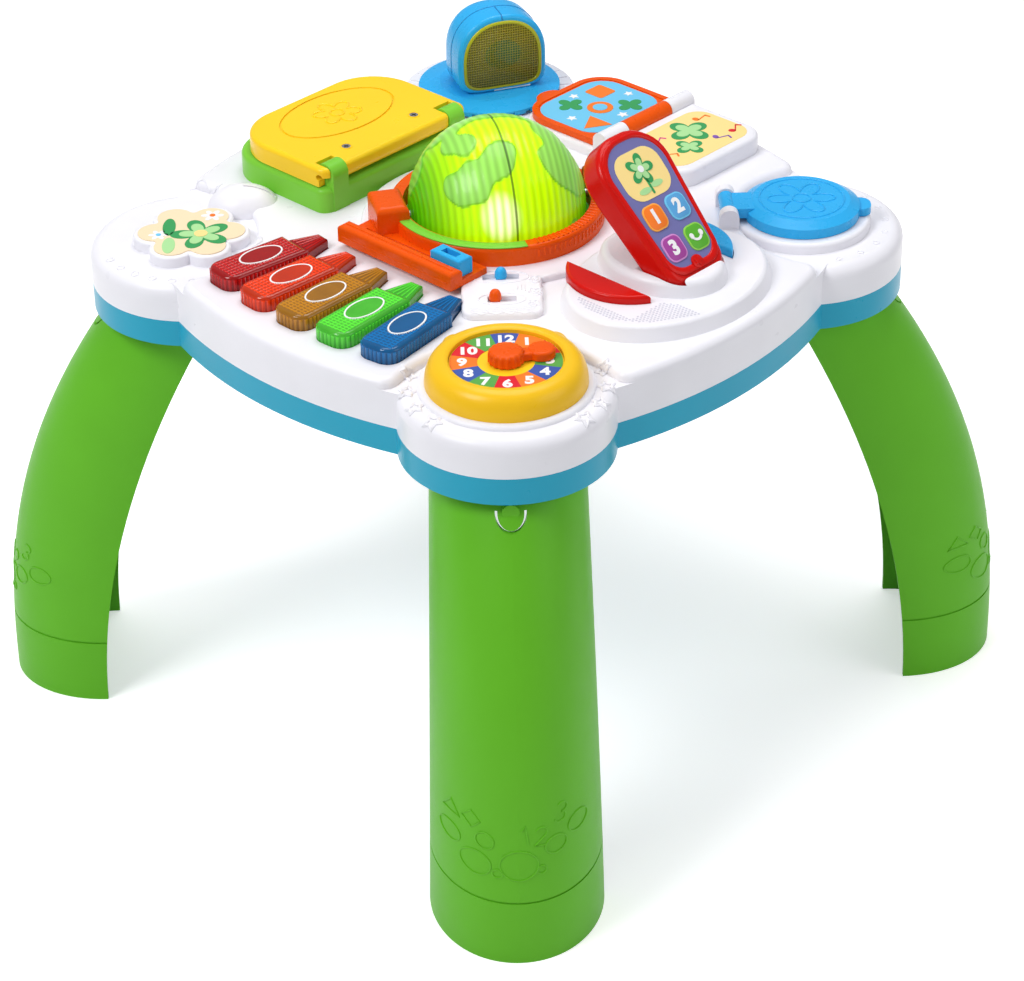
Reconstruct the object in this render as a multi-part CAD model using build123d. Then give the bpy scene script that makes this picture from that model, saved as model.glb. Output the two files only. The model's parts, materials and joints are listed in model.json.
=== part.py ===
from build123d import *
import os
from math import asin, cos, degrees, radians, sin, sqrt

# Toddler activity table: a play desk on four flared legs, with a lit globe, crayon keys, a play laptop,
# a flip book, a telephone, a clock, a lamp and a lidded dish.
# Millimetres. The origin is on the floor under the middle of the table and +Z is up. The crayon keys
# face -Y, the telephone +X, the flip book +Y and the laptop -X. The round lobes and the legs are on
# the diagonals. In a lobe's own frame +X points away from the middle of the table.

# Table body
lobe_offset = 133.0
lobe_radius = 63.5
side_reach = 197.0
side_bow_radius = 300.0
underside_height = 271.5
lower_depth = 17.0
lobe_wall_rise = 23.5
deck_step = 6.0
plateau_step = 4.0
wall = 2.5
lobe_edge_radius = 8.0
block_cut_shift = 30.0
block_cut_radius = 70.0
block_corner_radius = 9.0
block_edge_radius = 5.0
plateau_radius = 84.0
plateau_edge_radius = 2.0
switch_plate_width = 48.0
switch_plate_reach = 124.0
switch_plate_corner = 8.0
running_clearance = 0.4
seat_clearance = 0.3
pin_fit = 0.05
overrun = 1.0

# Legs: half-round channels that flare outwards and stand upright on the floor
leg_top_inset = 10.6
leg_top_depth = 61.5
leg_flare = 84.0
leg_flare_power = 2.4
leg_open_flare = 82.0
leg_open_power = 1.9
leg_floor_half_width = 52.5
leg_top_half_width = 45.5
leg_wall = 3.0
leg_section_count = 6
leg_groove_height = 44.0
leg_groove_width = 1.4
leg_groove_depth = 0.8
leg_plug_inset = 7.0
leg_plug_height = 12.0
leg_tab_drop = 7.5
leg_tab_width = 18.0
leg_tab_straight = 3.0
leg_tab_depth = 15.0
leg_tab_slot = 1.4
leg_button_radius = 5.0
leg_button_rise = 1.5

# Crayon keys
crayon_count = 5
crayon_pitch = 33.0
crayon_side = -1.0
crayon_fan_degrees = 3.6
crayon_outer_reach = 172.0
crayon_outer_bow = 6.0
crayon_width = 26.0
crayon_barrel_length = 58.0
crayon_length = 79.0
crayon_shoulder_width = 20.0
crayon_shoulder_run = 3.0
crayon_tip_width = 9.0
crayon_end_radius = 9.0
crayon_barrel_rise = 9.5
crayon_tip_rise = 6.5
crayon_edge_radius = 2.5
crayon_tip_edge_radius = 1.5
crayon_clearance = 0.6
crayon_flange = 0.9
crayon_sink = 10.0
crayon_travel = 3.0

# Circuit board and the rubber domes under the keys
board_drop = 9.0
board_thickness = 1.6
board_width = 150.0
board_depth = 66.0
board_middle = 135.0
board_post_radius = 3.5
board_post_inset = 6.0
mat_thickness = 1.2
mat_margin = 4.0
dome_radius = 6.0
dome_along_share = 0.45

# Globe, its stand and the sliding block
globe_radius = 55.5
globe_rise = 8.0
globe_wall = 2.2
globe_axle_degrees = 57.0
globe_axle_radius = 3.0
globe_axle_cover = 5.0
globe_hub_radius = 7.0
globe_hub_length = 9.0
globe_gap = 2.5
ring_width = 8.5
ring_rise = 12.0
ring_edge_radius = 2.5
post_inner_inset = 0.2
post_depth = 11.5
post_width = 29.0
post_rise = 21.0
post_edge_radius = 4.0
tray_length = 95.5
tray_side = -1.25
tray_bar_width = 10.0
tray_bar_gap = 12.5
tray_bar_rise = 11.0
tray_bar_edge = 2.4
tray_floor_rise = 4.0
tray_slot_width = 6.0
tray_slot_length = 82.0
slider_length = 24.0
slider_width = 11.0
slider_rise = 11.0
slider_hole_length = 12.0
slider_hole_width = 5.0
slider_foot_length = 14.0
slider_foot_width = 5.2
slider_foot_drop = 2.0
slider_rest = 32.0
slider_edge = 1.5

# Switches on the plate between globe and clock
volume_reach = 79.0
language_reach = 106.0
volume_slot_length = 22.0
language_slot_length = 17.0
switch_slot_width = 7.0
switch_slot_depth = 3.0
switch_knob_radius = 4.2
switch_knob_rise = 6.5
switch_neck_width = 6.2
switch_clearance = 0.3
language_rest = 4.0

# Clock
bezel_foot_radius = 47.0
bezel_waist_radius = 45.5
bezel_rim_radius = 41.0
bezel_waist_rise = 12.0
bezel_rise = 18.5
bezel_lip_radius = 34.0
dial_radius = 32.7
dial_seat_radius = 26.0
dial_sink = 3.3
dial_thickness = 1.5
dial_seat_thickness = 2.0
dial_clearance = 0.3
bezel_ear_radius = 9.5
bezel_ear_reach = 39.0
bezel_ear_degrees = 46.0
bezel_ear_drop = 2.0
clock_pin_radius = 2.5
clock_pin_head_radius = 4.5
clock_pin_head = 1.2
knob_radius = 10.5
knob_rise = 9.8
knob_flute_radius = 1.6
knob_flute_count = 12
hand_reach = 21.0
hand_end_radius = 8.0
hand_neck_width = 9.0
hand_rise = 6.8
hand_hours = 2.5
hours_on_dial = 12

# Lidded dish
dish_ring_radius = 43.0
dish_ring_rise = 6.5
dish_ring_edge = 2.5
dish_radius = 31.0
dish_depth = 5.0
lid_radius = 36.0
lid_skirt_rise = 6.5
lid_crown_rise = 10.0
lid_crown_radius = 30.0
lid_edge_radius = 1.6
lid_barrel_reach = 46.0
lid_barrel_rise = 6.0
lid_barrel_radius = 4.8
lid_barrel_width = 22.0
lid_tab_thickness = 6.5
lid_lip_reach = 43.0
lid_lip_width = 16.0
lid_lip_thickness = 5.0
lid_pin_radius = 2.0
lid_post_width = 7.0
lid_post_radius = 6.0

# Lamp
lamp_seat_radius = 57.0
lamp_seat_rise = 6.5
lamp_rib_count = 30
lamp_rib_width = 2.2
lamp_rib_length = 13.0
lamp_rib_rise = 1.2
lamp_base_radius = 47.0
lamp_base_rim = 3.0
lamp_base_top_radius = 33.0
lamp_base_rise = 7.5
lamp_tooth_count = 24
lamp_tooth_width = 4.0
lamp_tooth_depth = 2.0
lamp_head_width = 68.0
lamp_head_straight = 20.0
lamp_head_depth = 44.0
lamp_head_edge = 9.0
lamp_turn_degrees = 17.0
lens_border = 9.0
lens_recess = 6.0
lens_thickness = 4.0
lens_bulge = 2.5
lamp_wall = 4.0
lamp_bulb_radius = 4.0
lamp_bulb_length = 10.0
lamp_pivot_radius = 8.0
lamp_pivot_rise = 5.5

# Play laptop
laptop_inner = 84.0
laptop_outer = 178.0
laptop_half_width = 66.0
laptop_outer_corner = 30.0
laptop_inner_corner = 8.0
laptop_base_rise = 16.0
laptop_base_edge = 3.5
keyboard_inner = 104.0
keyboard_outer = 168.0
keyboard_half_width = 52.0
keyboard_pocket_depth = 4.0
keyboard_corner = 10.0
keyboard_thickness = 3.0
keyboard_key_rise = 0.7
keyboard_columns = 6
keyboard_rows = 3
keyboard_key_share = 0.72
laptop_hinge_reach = 91.0
laptop_hinge_rise = 7.0
laptop_hinge_radius = 6.0
laptop_arm_width = 13.0
laptop_arm_middle = 52.0
laptop_arm_half_depth = 7.5
laptop_lid_rise = 13.0
laptop_lid_edge = 3.0
laptop_lid_outer = 174.0
laptop_lid_half_width = 64.0
laptop_lid_corner = 34.0
laptop_lid_gap = 0.6
laptop_screen_depth = 1.2
laptop_pin_radius = 2.0
lid_panel_long = 44.0
lid_panel_short = 27.0
lid_panel_middle = 140.0
lid_panel_rise = 1.0
lid_panel_width = 1.6

# Flip book
book_hinge_offset = -8.0
book_hinge_rise = 6.5
book_tube_radius = 6.0
book_near = 104.0
book_far = 190.0
book_page_near = 107.0
book_page_far = 186.0
book_cap_length = 22.0
book_rest_rise = 6.5
book_page_reach = 74.0
book_page_inner = 5.0
book_page_thickness = 3.5
book_page_corner = 22.0
book_page_rim = 4.0
book_page_rim_rise = 0.8
book_tab_length = 7.0
book_tab_width = 20.0
book_tab_share = 0.38
book_web_thickness = 3.0
book_right_reach = 68.0
book_right_rise = 12.0
book_right_corner = 16.0
book_base_edge = 3.0
book_pin_radius = 2.0
book_left_reach = 73.0

# Telephone platform, dock, handset and its two crescent buttons
phone_side = 10.0
tier_middle = 134.0
tier_half_depth = 56.0
tier_half_width = 74.0
tier_rise = 9.0
tier_taper_degrees = 24.0
tier_edge_radius = 2.5
dock_middle = 126.0
dock_half_depth = 46.0
dock_half_width = 37.0
dock_rise = 19.0
dock_taper_degrees = 16.0
dock_edge_radius = 5.0
handset_foot_reach = 160.0
handset_foot_rise = 6.0
handset_lean_degrees = 45.0
handset_length = 100.0
handset_width = 60.0
handset_foot_width = 46.0
handset_thickness = 20.0
handset_split = 11.0
handset_top_corner = 24.0
handset_foot_corner = 14.0
handset_edge_radius = 4.0
handset_panel_border = 8.5
handset_panel_depth = 1.5
handset_clearance = 0.8
handset_key_radius = 6.5
handset_key_rise = 0.8
handset_key_across_share = 0.5
handset_key_row_shares = (0.25, 0.45)
button_chord_half = 33.0
button_sagitta = 19.0
button_middle = 116.0
button_chord_gap = 37.0
button_rise = 5.0
button_sink = 3.0
button_travel = 2.5
button_clearance = 0.5
button_edge_radius = 2.0
speaker_radius = 26.0
speaker_height = 16.0
speaker_reach = 124.0
speaker_side = 30.0
speaker_magnet_radius = 14.0
speaker_magnet_height = 8.0

# Raised pads on the front left lobe
pad_petal_count = 6
pad_petal_radius = 14.0
pad_petal_reach = 22.0
pad_side = -6.0
pad_rise = 7.0
pad_edge_radius = 1.5
pad_print_inset = 3.0
pad_print_thickness = 0.6
mouse_length = 46.0
mouse_width = 34.0
mouse_rise = 15.0
mouse_reach_x = -139.0
mouse_reach_y = -84.0
mouse_turn_degrees = 40.0
mouse_split_width = 1.4

# Underside: battery box, cover, cells and screws
battery_side = 112.0
battery_length = 66.0
battery_width = 58.0
battery_height = 22.0
battery_wall = 2.0
battery_cover_thickness = 2.0
battery_cover_clearance = 0.3
cell_radius = 7.2
cell_length = 50.0
cell_count = 3
cell_gap = 1.6
screw_boss_radius = 5.0
screw_boss_height = 12.0
screw_head_radius = 3.0
screw_head_height = 2.0
screw_shank_radius = 1.5
screw_length = 16.0
screw_post_radius = 4.5
screw_sink = 4.0
screw_spread_degrees = 34.0
screw_arm = 50.0

lobe_turns = {"front_right": -45, "front_left": -135, "rear_right": 45, "rear_left": 135}

# Heights above the floor, each built up from the piece that carries it
split_height = underside_height + lower_depth
lobe_deck_height = split_height + lobe_wall_rise
deck_height = lobe_deck_height + deck_step
plateau_height = deck_height + plateau_step
deck_underside = deck_height - wall
floor_top = underside_height + wall
leg_tab_height = underside_height - leg_tab_drop
crayon_barrel_height = deck_height + crayon_barrel_rise
crayon_tip_height = deck_height + crayon_tip_rise
crayon_bottom_height = deck_height - crayon_sink
board_height = crayon_bottom_height - board_drop
globe_height = plateau_height + globe_rise
ring_height = plateau_height + ring_rise
post_height = plateau_height + post_rise
tray_bar_height = plateau_height + tray_bar_rise
tray_floor_height = plateau_height + tray_floor_rise
slider_height = tray_floor_height + slider_rise
bezel_waist_height = lobe_deck_height + bezel_waist_rise
bezel_height = lobe_deck_height + bezel_rise
dial_height = bezel_height - dial_sink
knob_height = dial_height + knob_rise
hand_height = dial_height + hand_rise
dish_ring_height = lobe_deck_height + dish_ring_rise
lid_skirt_height = dish_ring_height + lid_skirt_rise
lid_crown_height = dish_ring_height + lid_crown_rise
lid_barrel_height = dish_ring_height + lid_barrel_rise
lamp_seat_height = lobe_deck_height + lamp_seat_rise
lamp_base_height = lamp_seat_height + lamp_base_rise
lamp_pivot_height = lamp_seat_height + lamp_pivot_rise
laptop_base_height = deck_height + laptop_base_rise
laptop_hinge_height = laptop_base_height + laptop_hinge_rise
laptop_lid_height = laptop_base_height + laptop_lid_rise
book_rest_height = deck_height + book_rest_rise
book_hinge_height = book_rest_height + book_hinge_rise
book_right_height = deck_height + book_right_rise
tier_height = deck_height + tier_rise
dock_height = deck_height + dock_rise
handset_foot_height = tier_height + handset_foot_rise
button_height = tier_height + button_rise
button_bottom_height = tier_height - button_sink
pad_height = lobe_deck_height + pad_rise

# Reaches from the middle of the table that follow from a neighbour
lobe_distance = lobe_offset * sqrt(2)
leg_top_reach = lobe_distance + lobe_radius - leg_top_inset
leg_floor_reach = leg_top_reach + leg_flare
leg_open_reach = leg_top_reach - leg_top_depth + leg_open_flare
ring_inner_radius = globe_radius + globe_gap
ring_outer_radius = ring_inner_radius + ring_width
post_inner_reach = ring_inner_radius - post_inner_inset
post_outer_reach = ring_outer_radius + post_depth
globe_axle_reach = post_outer_reach - globe_axle_cover
tray_bar_middle = ring_outer_radius + tray_bar_gap + tray_bar_width / 2

nodes = {}


def lobe_frame(corner):
    """Frame at a lobe's centre on the floor, with +X pointing away from the middle of the table."""
    return Rot(0, 0, lobe_turns[corner]) * Pos(lobe_distance, 0, 0)


def prism(outline, low, high):
    """Upright solid of a flat outline between two heights."""
    return Pos(0, 0, low) * extrude(outline, high - low)


def round_top(solid, radius):
    """Rounds the edges of the highest face."""
    return fillet(solid.faces().sort_by(Axis.Z)[-1].edges(), radius)


def round_rim(solid, radius):
    """Rounds only the outer edge of the highest face."""
    return fillet(solid.faces().sort_by(Axis.Z)[-1].outer_wire().edges(), radius)


def tube_along_y(radius, start, end):
    """Round bar along Y through the origin's X and Z."""
    return Pos(0, start, 0) * Rot(-90, 0, 0) * extrude(Circle(radius), end - start)


def box_between(low, high):
    """Box from its low corner to its high corner."""
    size = [b - a for a, b in zip(low, high)]
    middle = [(a + b) / 2 for a, b in zip(low, high)]
    return Pos(*middle) * Box(*size)


def corner_rounded(outline, picks, radius):
    """Rounds the picked corners of a flat outline."""
    return fillet(picks(outline.vertices()), radius)


# Outline of the table: a square with bowed sides and a round lobe at each corner

def bowed_square(inset):
    centre = side_reach - side_bow_radius
    outline = Pos(centre, 0) * Circle(side_bow_radius - inset)
    for turn in (90, 180, 270):
        outline = outline & (Rot(0, 0, turn) * Pos(centre, 0) * Circle(side_bow_radius - inset))
    return outline


def lobe_discs(radius):
    discs = Sketch()
    for corner in lobe_turns:
        discs += lobe_frame(corner) * Circle(radius)
    return discs


def block_cuts(grow):
    """Discs that keep the raised middle of the deck off the round lobes."""
    discs = Sketch()
    for corner in lobe_turns:
        discs += lobe_frame(corner) * Pos(block_cut_shift, 0) * Circle(block_cut_radius + grow)
    return discs


def table_outline(inset):
    return bowed_square(inset) + lobe_discs(lobe_radius - inset)


# Crayon keys

def crayon_places():
    """Frame of each key at its rounded outer end, with +Y running to the tip."""
    middle = (crayon_count - 1) / 2
    places = []
    for index in range(crayon_count):
        step = index - middle
        bow = crayon_outer_bow * (1 - (step / middle) ** 2)
        place = Pos(step * crayon_pitch + crayon_side, -(crayon_outer_reach + bow), 0)
        places.append(place * Rot(0, 0, step * crayon_fan_degrees))
    return places


def crayon_barrel_outline():
    outline = Pos(0, crayon_barrel_length / 2) * Rectangle(crayon_width, crayon_barrel_length)
    return corner_rounded(outline, lambda v: v.sort_by(Axis.Y)[:2], crayon_end_radius)


def crayon_tip_outline():
    shoulder = crayon_shoulder_width / 2
    tip = crayon_tip_width / 2
    neck = crayon_barrel_length + crayon_shoulder_run
    start = crayon_barrel_length - crayon_shoulder_run
    points = [(-shoulder, start), (shoulder, start), (shoulder, neck), (tip, crayon_length),
              (-tip, crayon_length), (-shoulder, neck)]
    return make_face(Polyline(*points, close=True))


def crayon_outline():
    return crayon_barrel_outline() + crayon_tip_outline()


def crayon_key():
    """One key: rounded barrel, shoulder and tip above the deck, and a retaining flange below it."""
    barrel = prism(crayon_barrel_outline(), crayon_bottom_height, crayon_barrel_height)
    barrel = round_top(barrel, crayon_edge_radius)
    tip = prism(crayon_tip_outline(), crayon_bottom_height, crayon_tip_height)
    tip = round_top(tip, crayon_tip_edge_radius)
    flange_outline = offset(crayon_outline(), crayon_flange + crayon_clearance)
    flange = prism(flange_outline, crayon_bottom_height, deck_underside - seat_clearance)
    return barrel + tip + flange


def crayon_slot():
    outline = offset(crayon_outline(), crayon_clearance)
    return prism(outline, deck_underside - overrun, crayon_barrel_height)


# Telephone: the handset leans back in a dock on a stepped platform

def handset_plane():
    """Plane of the handset's front: local X across, local Y up the handset, Z out of the keys."""
    lean = radians(handset_lean_degrees)
    return Plane(origin=(handset_foot_reach, phone_side, handset_foot_height),
                 x_dir=(0, 1, 0), z_dir=(cos(lean), 0, sin(lean)))


def handset_outline(grow):
    half_foot = handset_foot_width / 2
    half_top = handset_width / 2
    points = [(-half_foot, 0), (half_foot, 0), (half_top, handset_length), (-half_top, handset_length)]
    outline = make_face(Polyline(*points, close=True))
    outline = corner_rounded(outline, lambda v: v.sort_by(Axis.Y)[-2:], handset_top_corner)
    outline = corner_rounded(outline, lambda v: v.sort_by(Axis.Y)[:2], handset_foot_corner)
    return offset(outline, grow) if grow else outline


def handset_slab(outline, back, front):
    """Solid of a handset outline between two depths behind its front, placed in the dock."""
    return handset_plane() * Pos(0, 0, -back) * extrude(outline, back - front)


def crescent(grow):
    """Outline of a crescent button, seen from above: a straight edge towards the dock and an arc."""
    radius = (button_chord_half ** 2 + button_sagitta ** 2) / (2 * button_sagitta)
    disc = Pos(0, radius - button_sagitta) * Circle(radius + grow)
    keep = Pos(0, -button_chord_half + grow) * Rectangle(4 * button_chord_half, 2 * button_chord_half)
    return disc & keep


def button_places():
    """Frame of each crescent button at the middle of its straight edge, -Y pointing off the dock."""
    near = Pos(button_middle, phone_side - button_chord_gap, 0)
    far = Pos(button_middle, phone_side + button_chord_gap, 0) * Rot(0, 0, 180)
    return {"phone_button_red": near, "phone_button_blue": far}


def handset_pocket():
    back = handset_thickness + handset_clearance
    return handset_slab(handset_outline(handset_clearance), back, -handset_clearance)


def phone_platform():
    tier_outline = Pos(tier_middle, phone_side / 2) * Ellipse(tier_half_depth, tier_half_width)
    tier = extrude(tier_outline, tier_height - deck_underside, taper=tier_taper_degrees)
    tier = Pos(0, 0, deck_underside) * round_top(tier, tier_edge_radius)
    dock_outline = Pos(dock_middle, phone_side) * Ellipse(dock_half_depth, dock_half_width)
    dock = extrude(dock_outline, dock_height - deck_underside, taper=dock_taper_degrees)
    dock = Pos(0, 0, deck_underside) * round_top(dock, dock_edge_radius)
    platform = tier + dock
    for place in button_places().values():
        well_low = button_bottom_height - button_travel - seat_clearance
        platform -= place * prism(crescent(button_clearance), well_low, dock_height)
    return platform


# Flip book: white base with two tube ends, which the page's middle tube turns between

def book_base():
    middle = (book_near + book_far) / 2
    depth = book_far - book_near
    left = Pos(book_hinge_offset - book_left_reach / 2, middle) * Rectangle(book_left_reach, depth)
    left = corner_rounded(left, lambda v: v.sort_by(Axis.X)[:2], book_right_corner)
    right = Pos(book_hinge_offset + book_right_reach / 2, middle) * Rectangle(book_right_reach, depth)
    right = corner_rounded(right, lambda v: v.sort_by(Axis.X)[-2:], book_right_corner)
    base = round_top(prism(left, deck_underside, book_rest_height), book_base_edge)
    base += round_top(prism(right, deck_underside, book_right_height), book_base_edge)
    trough = book_tube_radius + running_clearance
    hinge = Pos(book_hinge_offset, 0, book_hinge_height)
    base -= hinge * tube_along_y(trough, book_near - overrun, book_far + overrun)
    reach = trough + overrun
    base -= hinge * box_between((-reach, book_near - overrun, 0), (reach, book_far + overrun, reach))
    for start in (book_near, book_far - book_cap_length):
        cap = hinge * tube_along_y(book_tube_radius, start, start + book_cap_length)
        foot = box_between(
            (book_hinge_offset - book_tube_radius, start, deck_underside),
            (book_hinge_offset + book_tube_radius, start + book_cap_length, book_hinge_height))
        base += cap + foot
    bore = hinge * tube_along_y(book_pin_radius, book_near + wall, book_far - wall)
    return base - bore


def book_page():
    middle = (book_page_near + book_page_far) / 2
    depth = book_page_far - book_page_near
    low = book_rest_height + seat_clearance
    high = low + book_page_thickness
    span = book_page_reach - book_page_inner
    outline = Pos(book_hinge_offset - book_page_inner - span / 2, middle) * Rectangle(span, depth)
    outline = corner_rounded(outline, lambda v: v.sort_by(Axis.X)[:2], book_page_corner)
    tab_middle = book_page_near + book_tab_share * depth
    tab = Pos(book_hinge_offset - book_page_reach, tab_middle)
    tab *= Ellipse(book_tab_length, book_tab_width / 2)
    sheet = prism(outline, low, high)
    rim = prism(outline, high, high + book_page_rim_rise)
    rim -= prism(offset(outline, -book_page_rim), high - overrun, high + overrun)
    page = sheet + rim + prism(tab, low, high)
    start = book_near + book_cap_length + running_clearance
    end = book_far - book_cap_length - running_clearance
    clear = book_tube_radius + running_clearance
    for gap_low, gap_high in ((book_page_near - overrun, start), (end, book_page_far + overrun)):
        page -= box_between((book_hinge_offset - clear, gap_low, low - overrun),
                            (book_hinge_offset + clear, gap_high, book_hinge_height))
    hinge = Pos(book_hinge_offset, 0, book_hinge_height)
    web = box_between((book_hinge_offset - book_page_inner - book_web_thickness, start, low),
                      (book_hinge_offset, end, low + book_page_thickness))
    page += hinge * tube_along_y(book_tube_radius, start, end) + web
    return page - hinge * tube_along_y(book_pin_radius + pin_fit, start - overrun, end + overrun)


# White top moulding

def lamp_seat():
    low = lobe_deck_height - wall
    seat = round_top(prism(Circle(lamp_seat_radius), low, lamp_seat_height), lamp_rib_rise / 2)
    rib_middle = lamp_seat_radius - lamp_rib_length / 2 - lamp_rib_width
    rib = Pos(rib_middle, 0, lamp_seat_height) * Box(lamp_rib_length, lamp_rib_width, lamp_rib_rise)
    for index in range(lamp_rib_count):
        seat += Rot(0, 0, index * 360 / lamp_rib_count) * rib
    return seat + prism(Circle(lamp_pivot_radius), low, lamp_pivot_height)


def dish_ring():
    low = lobe_deck_height - wall
    ring = round_top(prism(Circle(dish_ring_radius), low, dish_ring_height), dish_ring_edge)
    ring -= prism(Circle(dish_radius), dish_ring_height - dish_depth, dish_ring_height + overrun)
    gap = lid_barrel_width / 2 + running_clearance
    for side in (-1, 1):
        middle = side * (gap + lid_post_width / 2)
        post = Pos(-lid_barrel_reach, middle - lid_post_width / 2, lid_barrel_height)
        post *= tube_along_y(lid_post_radius, 0, lid_post_width)
        foot = box_between(
            (-lid_barrel_reach - lid_post_radius, middle - lid_post_width / 2, low),
            (-lid_barrel_reach + lid_post_radius, middle + lid_post_width / 2, lid_barrel_height))
        ring += post + foot
    trough = Pos(-lid_barrel_reach, 0, lid_barrel_height)
    clear = lid_barrel_radius + running_clearance
    ring -= trough * tube_along_y(clear, -gap, gap)
    bore_end = gap + lid_post_width - wall
    return ring - trough * tube_along_y(lid_pin_radius, -bore_end, bore_end)


def pad_outline(inset):
    outline = Circle(pad_petal_reach)
    for index in range(pad_petal_count):
        turn = Rot(0, 0, index * 360 / pad_petal_count)
        outline += turn * Pos(pad_petal_reach, 0) * Circle(pad_petal_radius)
    return offset(outline, -inset) if inset else outline


def pad_frame():
    return lobe_frame("front_left") * Pos(0, -pad_side, 0)


def mouse_dome():
    """Fixed mound in the form of a desk mouse, with a split line down its front half."""
    body = Sphere(1)
    body = scale(body, (mouse_length / 2, mouse_width / 2, mouse_rise))
    body &= Pos(0, 0, mouse_rise) * Box(2 * mouse_length, 2 * mouse_width, 2 * mouse_rise)
    body -= box_between((0, -mouse_split_width / 2, mouse_rise / 2),
                        (mouse_length, mouse_split_width / 2, mouse_rise))
    return Pos(mouse_reach_x, mouse_reach_y, lobe_deck_height) * Rot(0, 0, mouse_turn_degrees) * body


def switch_plate_outline():
    middle = switch_plate_reach / 2
    plate = Pos(middle, 0) * Rectangle(switch_plate_reach, switch_plate_width)
    plate = corner_rounded(plate, lambda v: v.sort_by(Axis.X)[-2:], switch_plate_corner)
    return Rot(0, 0, lobe_turns["front_right"]) * plate


def switch_frame(reach):
    return Rot(0, 0, lobe_turns["front_right"]) * Pos(reach, 0, 0)


def switch_slot(length):
    outline = Rectangle(switch_slot_width, length)
    return prism(outline, plateau_height - switch_slot_depth, plateau_height + overrun)


def screw_places():
    places = []
    for corner in lobe_turns:
        for side in (-1, 1):
            spread = Rot(0, 0, side * screw_spread_degrees)
            places.append(lobe_frame(corner) * spread * Pos(screw_arm, 0, 0))
    return places


def top_shell():
    shell = prism(bowed_square(0), split_height, lobe_deck_height)
    block = bowed_square(0) - block_cuts(0)
    block = fillet(block.vertices(), block_corner_radius)
    shell += round_top(prism(block, split_height, deck_height), block_edge_radius)
    for corner in lobe_turns:
        lobe = round_top(prism(Circle(lobe_radius), split_height, lobe_deck_height), lobe_edge_radius)
        shell += lobe_frame(corner) * lobe
    hollow = bowed_square(wall) - block_cuts(wall)
    hollow = fillet(hollow.vertices(), block_corner_radius - wall)
    cavity = prism(hollow, split_height, deck_underside)
    cavity += prism(bowed_square(wall), split_height - overrun, lobe_deck_height - wall)
    lobe_hollow = prism(Circle(lobe_radius - wall), split_height - overrun, lobe_deck_height - wall)
    lobe_hollow = round_top(lobe_hollow, lobe_edge_radius - wall)
    for corner in lobe_turns:
        cavity += lobe_frame(corner) * lobe_hollow
    plateau = round_top(prism(Circle(plateau_radius), deck_underside, plateau_height), plateau_edge_radius)
    plate = prism(switch_plate_outline(), deck_underside, plateau_height)
    shell += plateau + round_top(plate, plateau_edge_radius)
    shell -= cavity
    shell += phone_platform() + book_base() + mouse_dome()
    pad = prism(pad_outline(0), lobe_deck_height - wall, pad_height)
    shell += pad_frame() * round_top(pad, pad_edge_radius)
    shell += lobe_frame("rear_right") * dish_ring()
    shell += lobe_frame("rear_left") * lamp_seat()
    shell -= handset_pocket()
    bezel_room = bezel_ear_reach + bezel_ear_radius + seat_clearance
    shell -= lobe_frame("front_right") * prism(Circle(bezel_room), lobe_deck_height, plateau_height + overrun)
    shell -= prism(Circle(ring_inner_radius), split_height - overrun, plateau_height + overrun)
    for place in crayon_places():
        shell -= place * crayon_slot()
    shell -= switch_frame(volume_reach) * switch_slot(volume_slot_length)
    shell -= switch_frame(language_reach) * switch_slot(language_slot_length)
    for place in screw_places():
        post = prism(Circle(screw_post_radius), floor_top + screw_boss_height, lobe_deck_height - wall / 2)
        post -= prism(Circle(screw_shank_radius), floor_top, floor_top + screw_boss_height + screw_length)
        shell += place * post
    pin = lobe_frame("front_right") * prism(Circle(clock_pin_radius), lobe_deck_height - wall, lobe_deck_height)
    return shell - pin


# Teal lower moulding

def battery_frame():
    return Pos(0, battery_side, 0)


def leg_plug_outline(grow):
    reach = leg_outer_reach(underside_height)
    depth = reach - leg_open_at(underside_height)
    outline = half_round(depth - leg_plug_inset + grow, leg_top_half_width - leg_plug_inset + grow)
    return Pos(leg_open_at(underside_height), 0) * outline


def bottom_shell():
    outer = prism(table_outline(0), underside_height, split_height)
    shell = outer - prism(table_outline(wall), floor_top, split_height + overrun)
    for corner in lobe_turns:
        turn = Rot(0, 0, lobe_turns[corner])
        shell -= turn * prism(leg_plug_outline(seat_clearance), underside_height - overrun, floor_top + overrun)
    shell -= battery_frame() * prism(Rectangle(battery_length, battery_width), underside_height - overrun,
                                     floor_top + overrun)
    for place in screw_places():
        boss = prism(Circle(screw_boss_radius), floor_top - overrun, floor_top + screw_boss_height)
        shell += place * boss
        head_room = floor_top + screw_boss_height - screw_sink
        shell -= place * prism(Circle(screw_head_radius), underside_height - overrun, head_room)
        shell -= place * prism(Circle(screw_shank_radius), head_room - overrun, split_height)
    half_width = board_width / 2 - board_post_inset
    half_depth = board_depth / 2 - board_post_inset
    for x in (-half_width, half_width):
        for y in (-half_depth, half_depth):
            post = prism(Circle(board_post_radius), floor_top - overrun, board_height)
            shell += Pos(x, y - board_middle, 0) * post
    return shell


# Legs

def leg_outer_reach(height):
    return leg_floor_reach - leg_flare * (height / underside_height) ** leg_flare_power


def leg_open_at(height):
    return leg_open_reach - leg_open_flare * (height / underside_height) ** leg_open_power


def leg_half_width(height):
    return leg_floor_half_width + (leg_top_half_width - leg_floor_half_width) * height / underside_height


def half_round(depth, half_width):
    """Half ellipse with its straight edge on the Y axis."""
    ring = Ellipse(depth, half_width)
    keep = Pos(depth, 0) * Rectangle(2 * depth, 4 * half_width)
    return ring & keep


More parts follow.
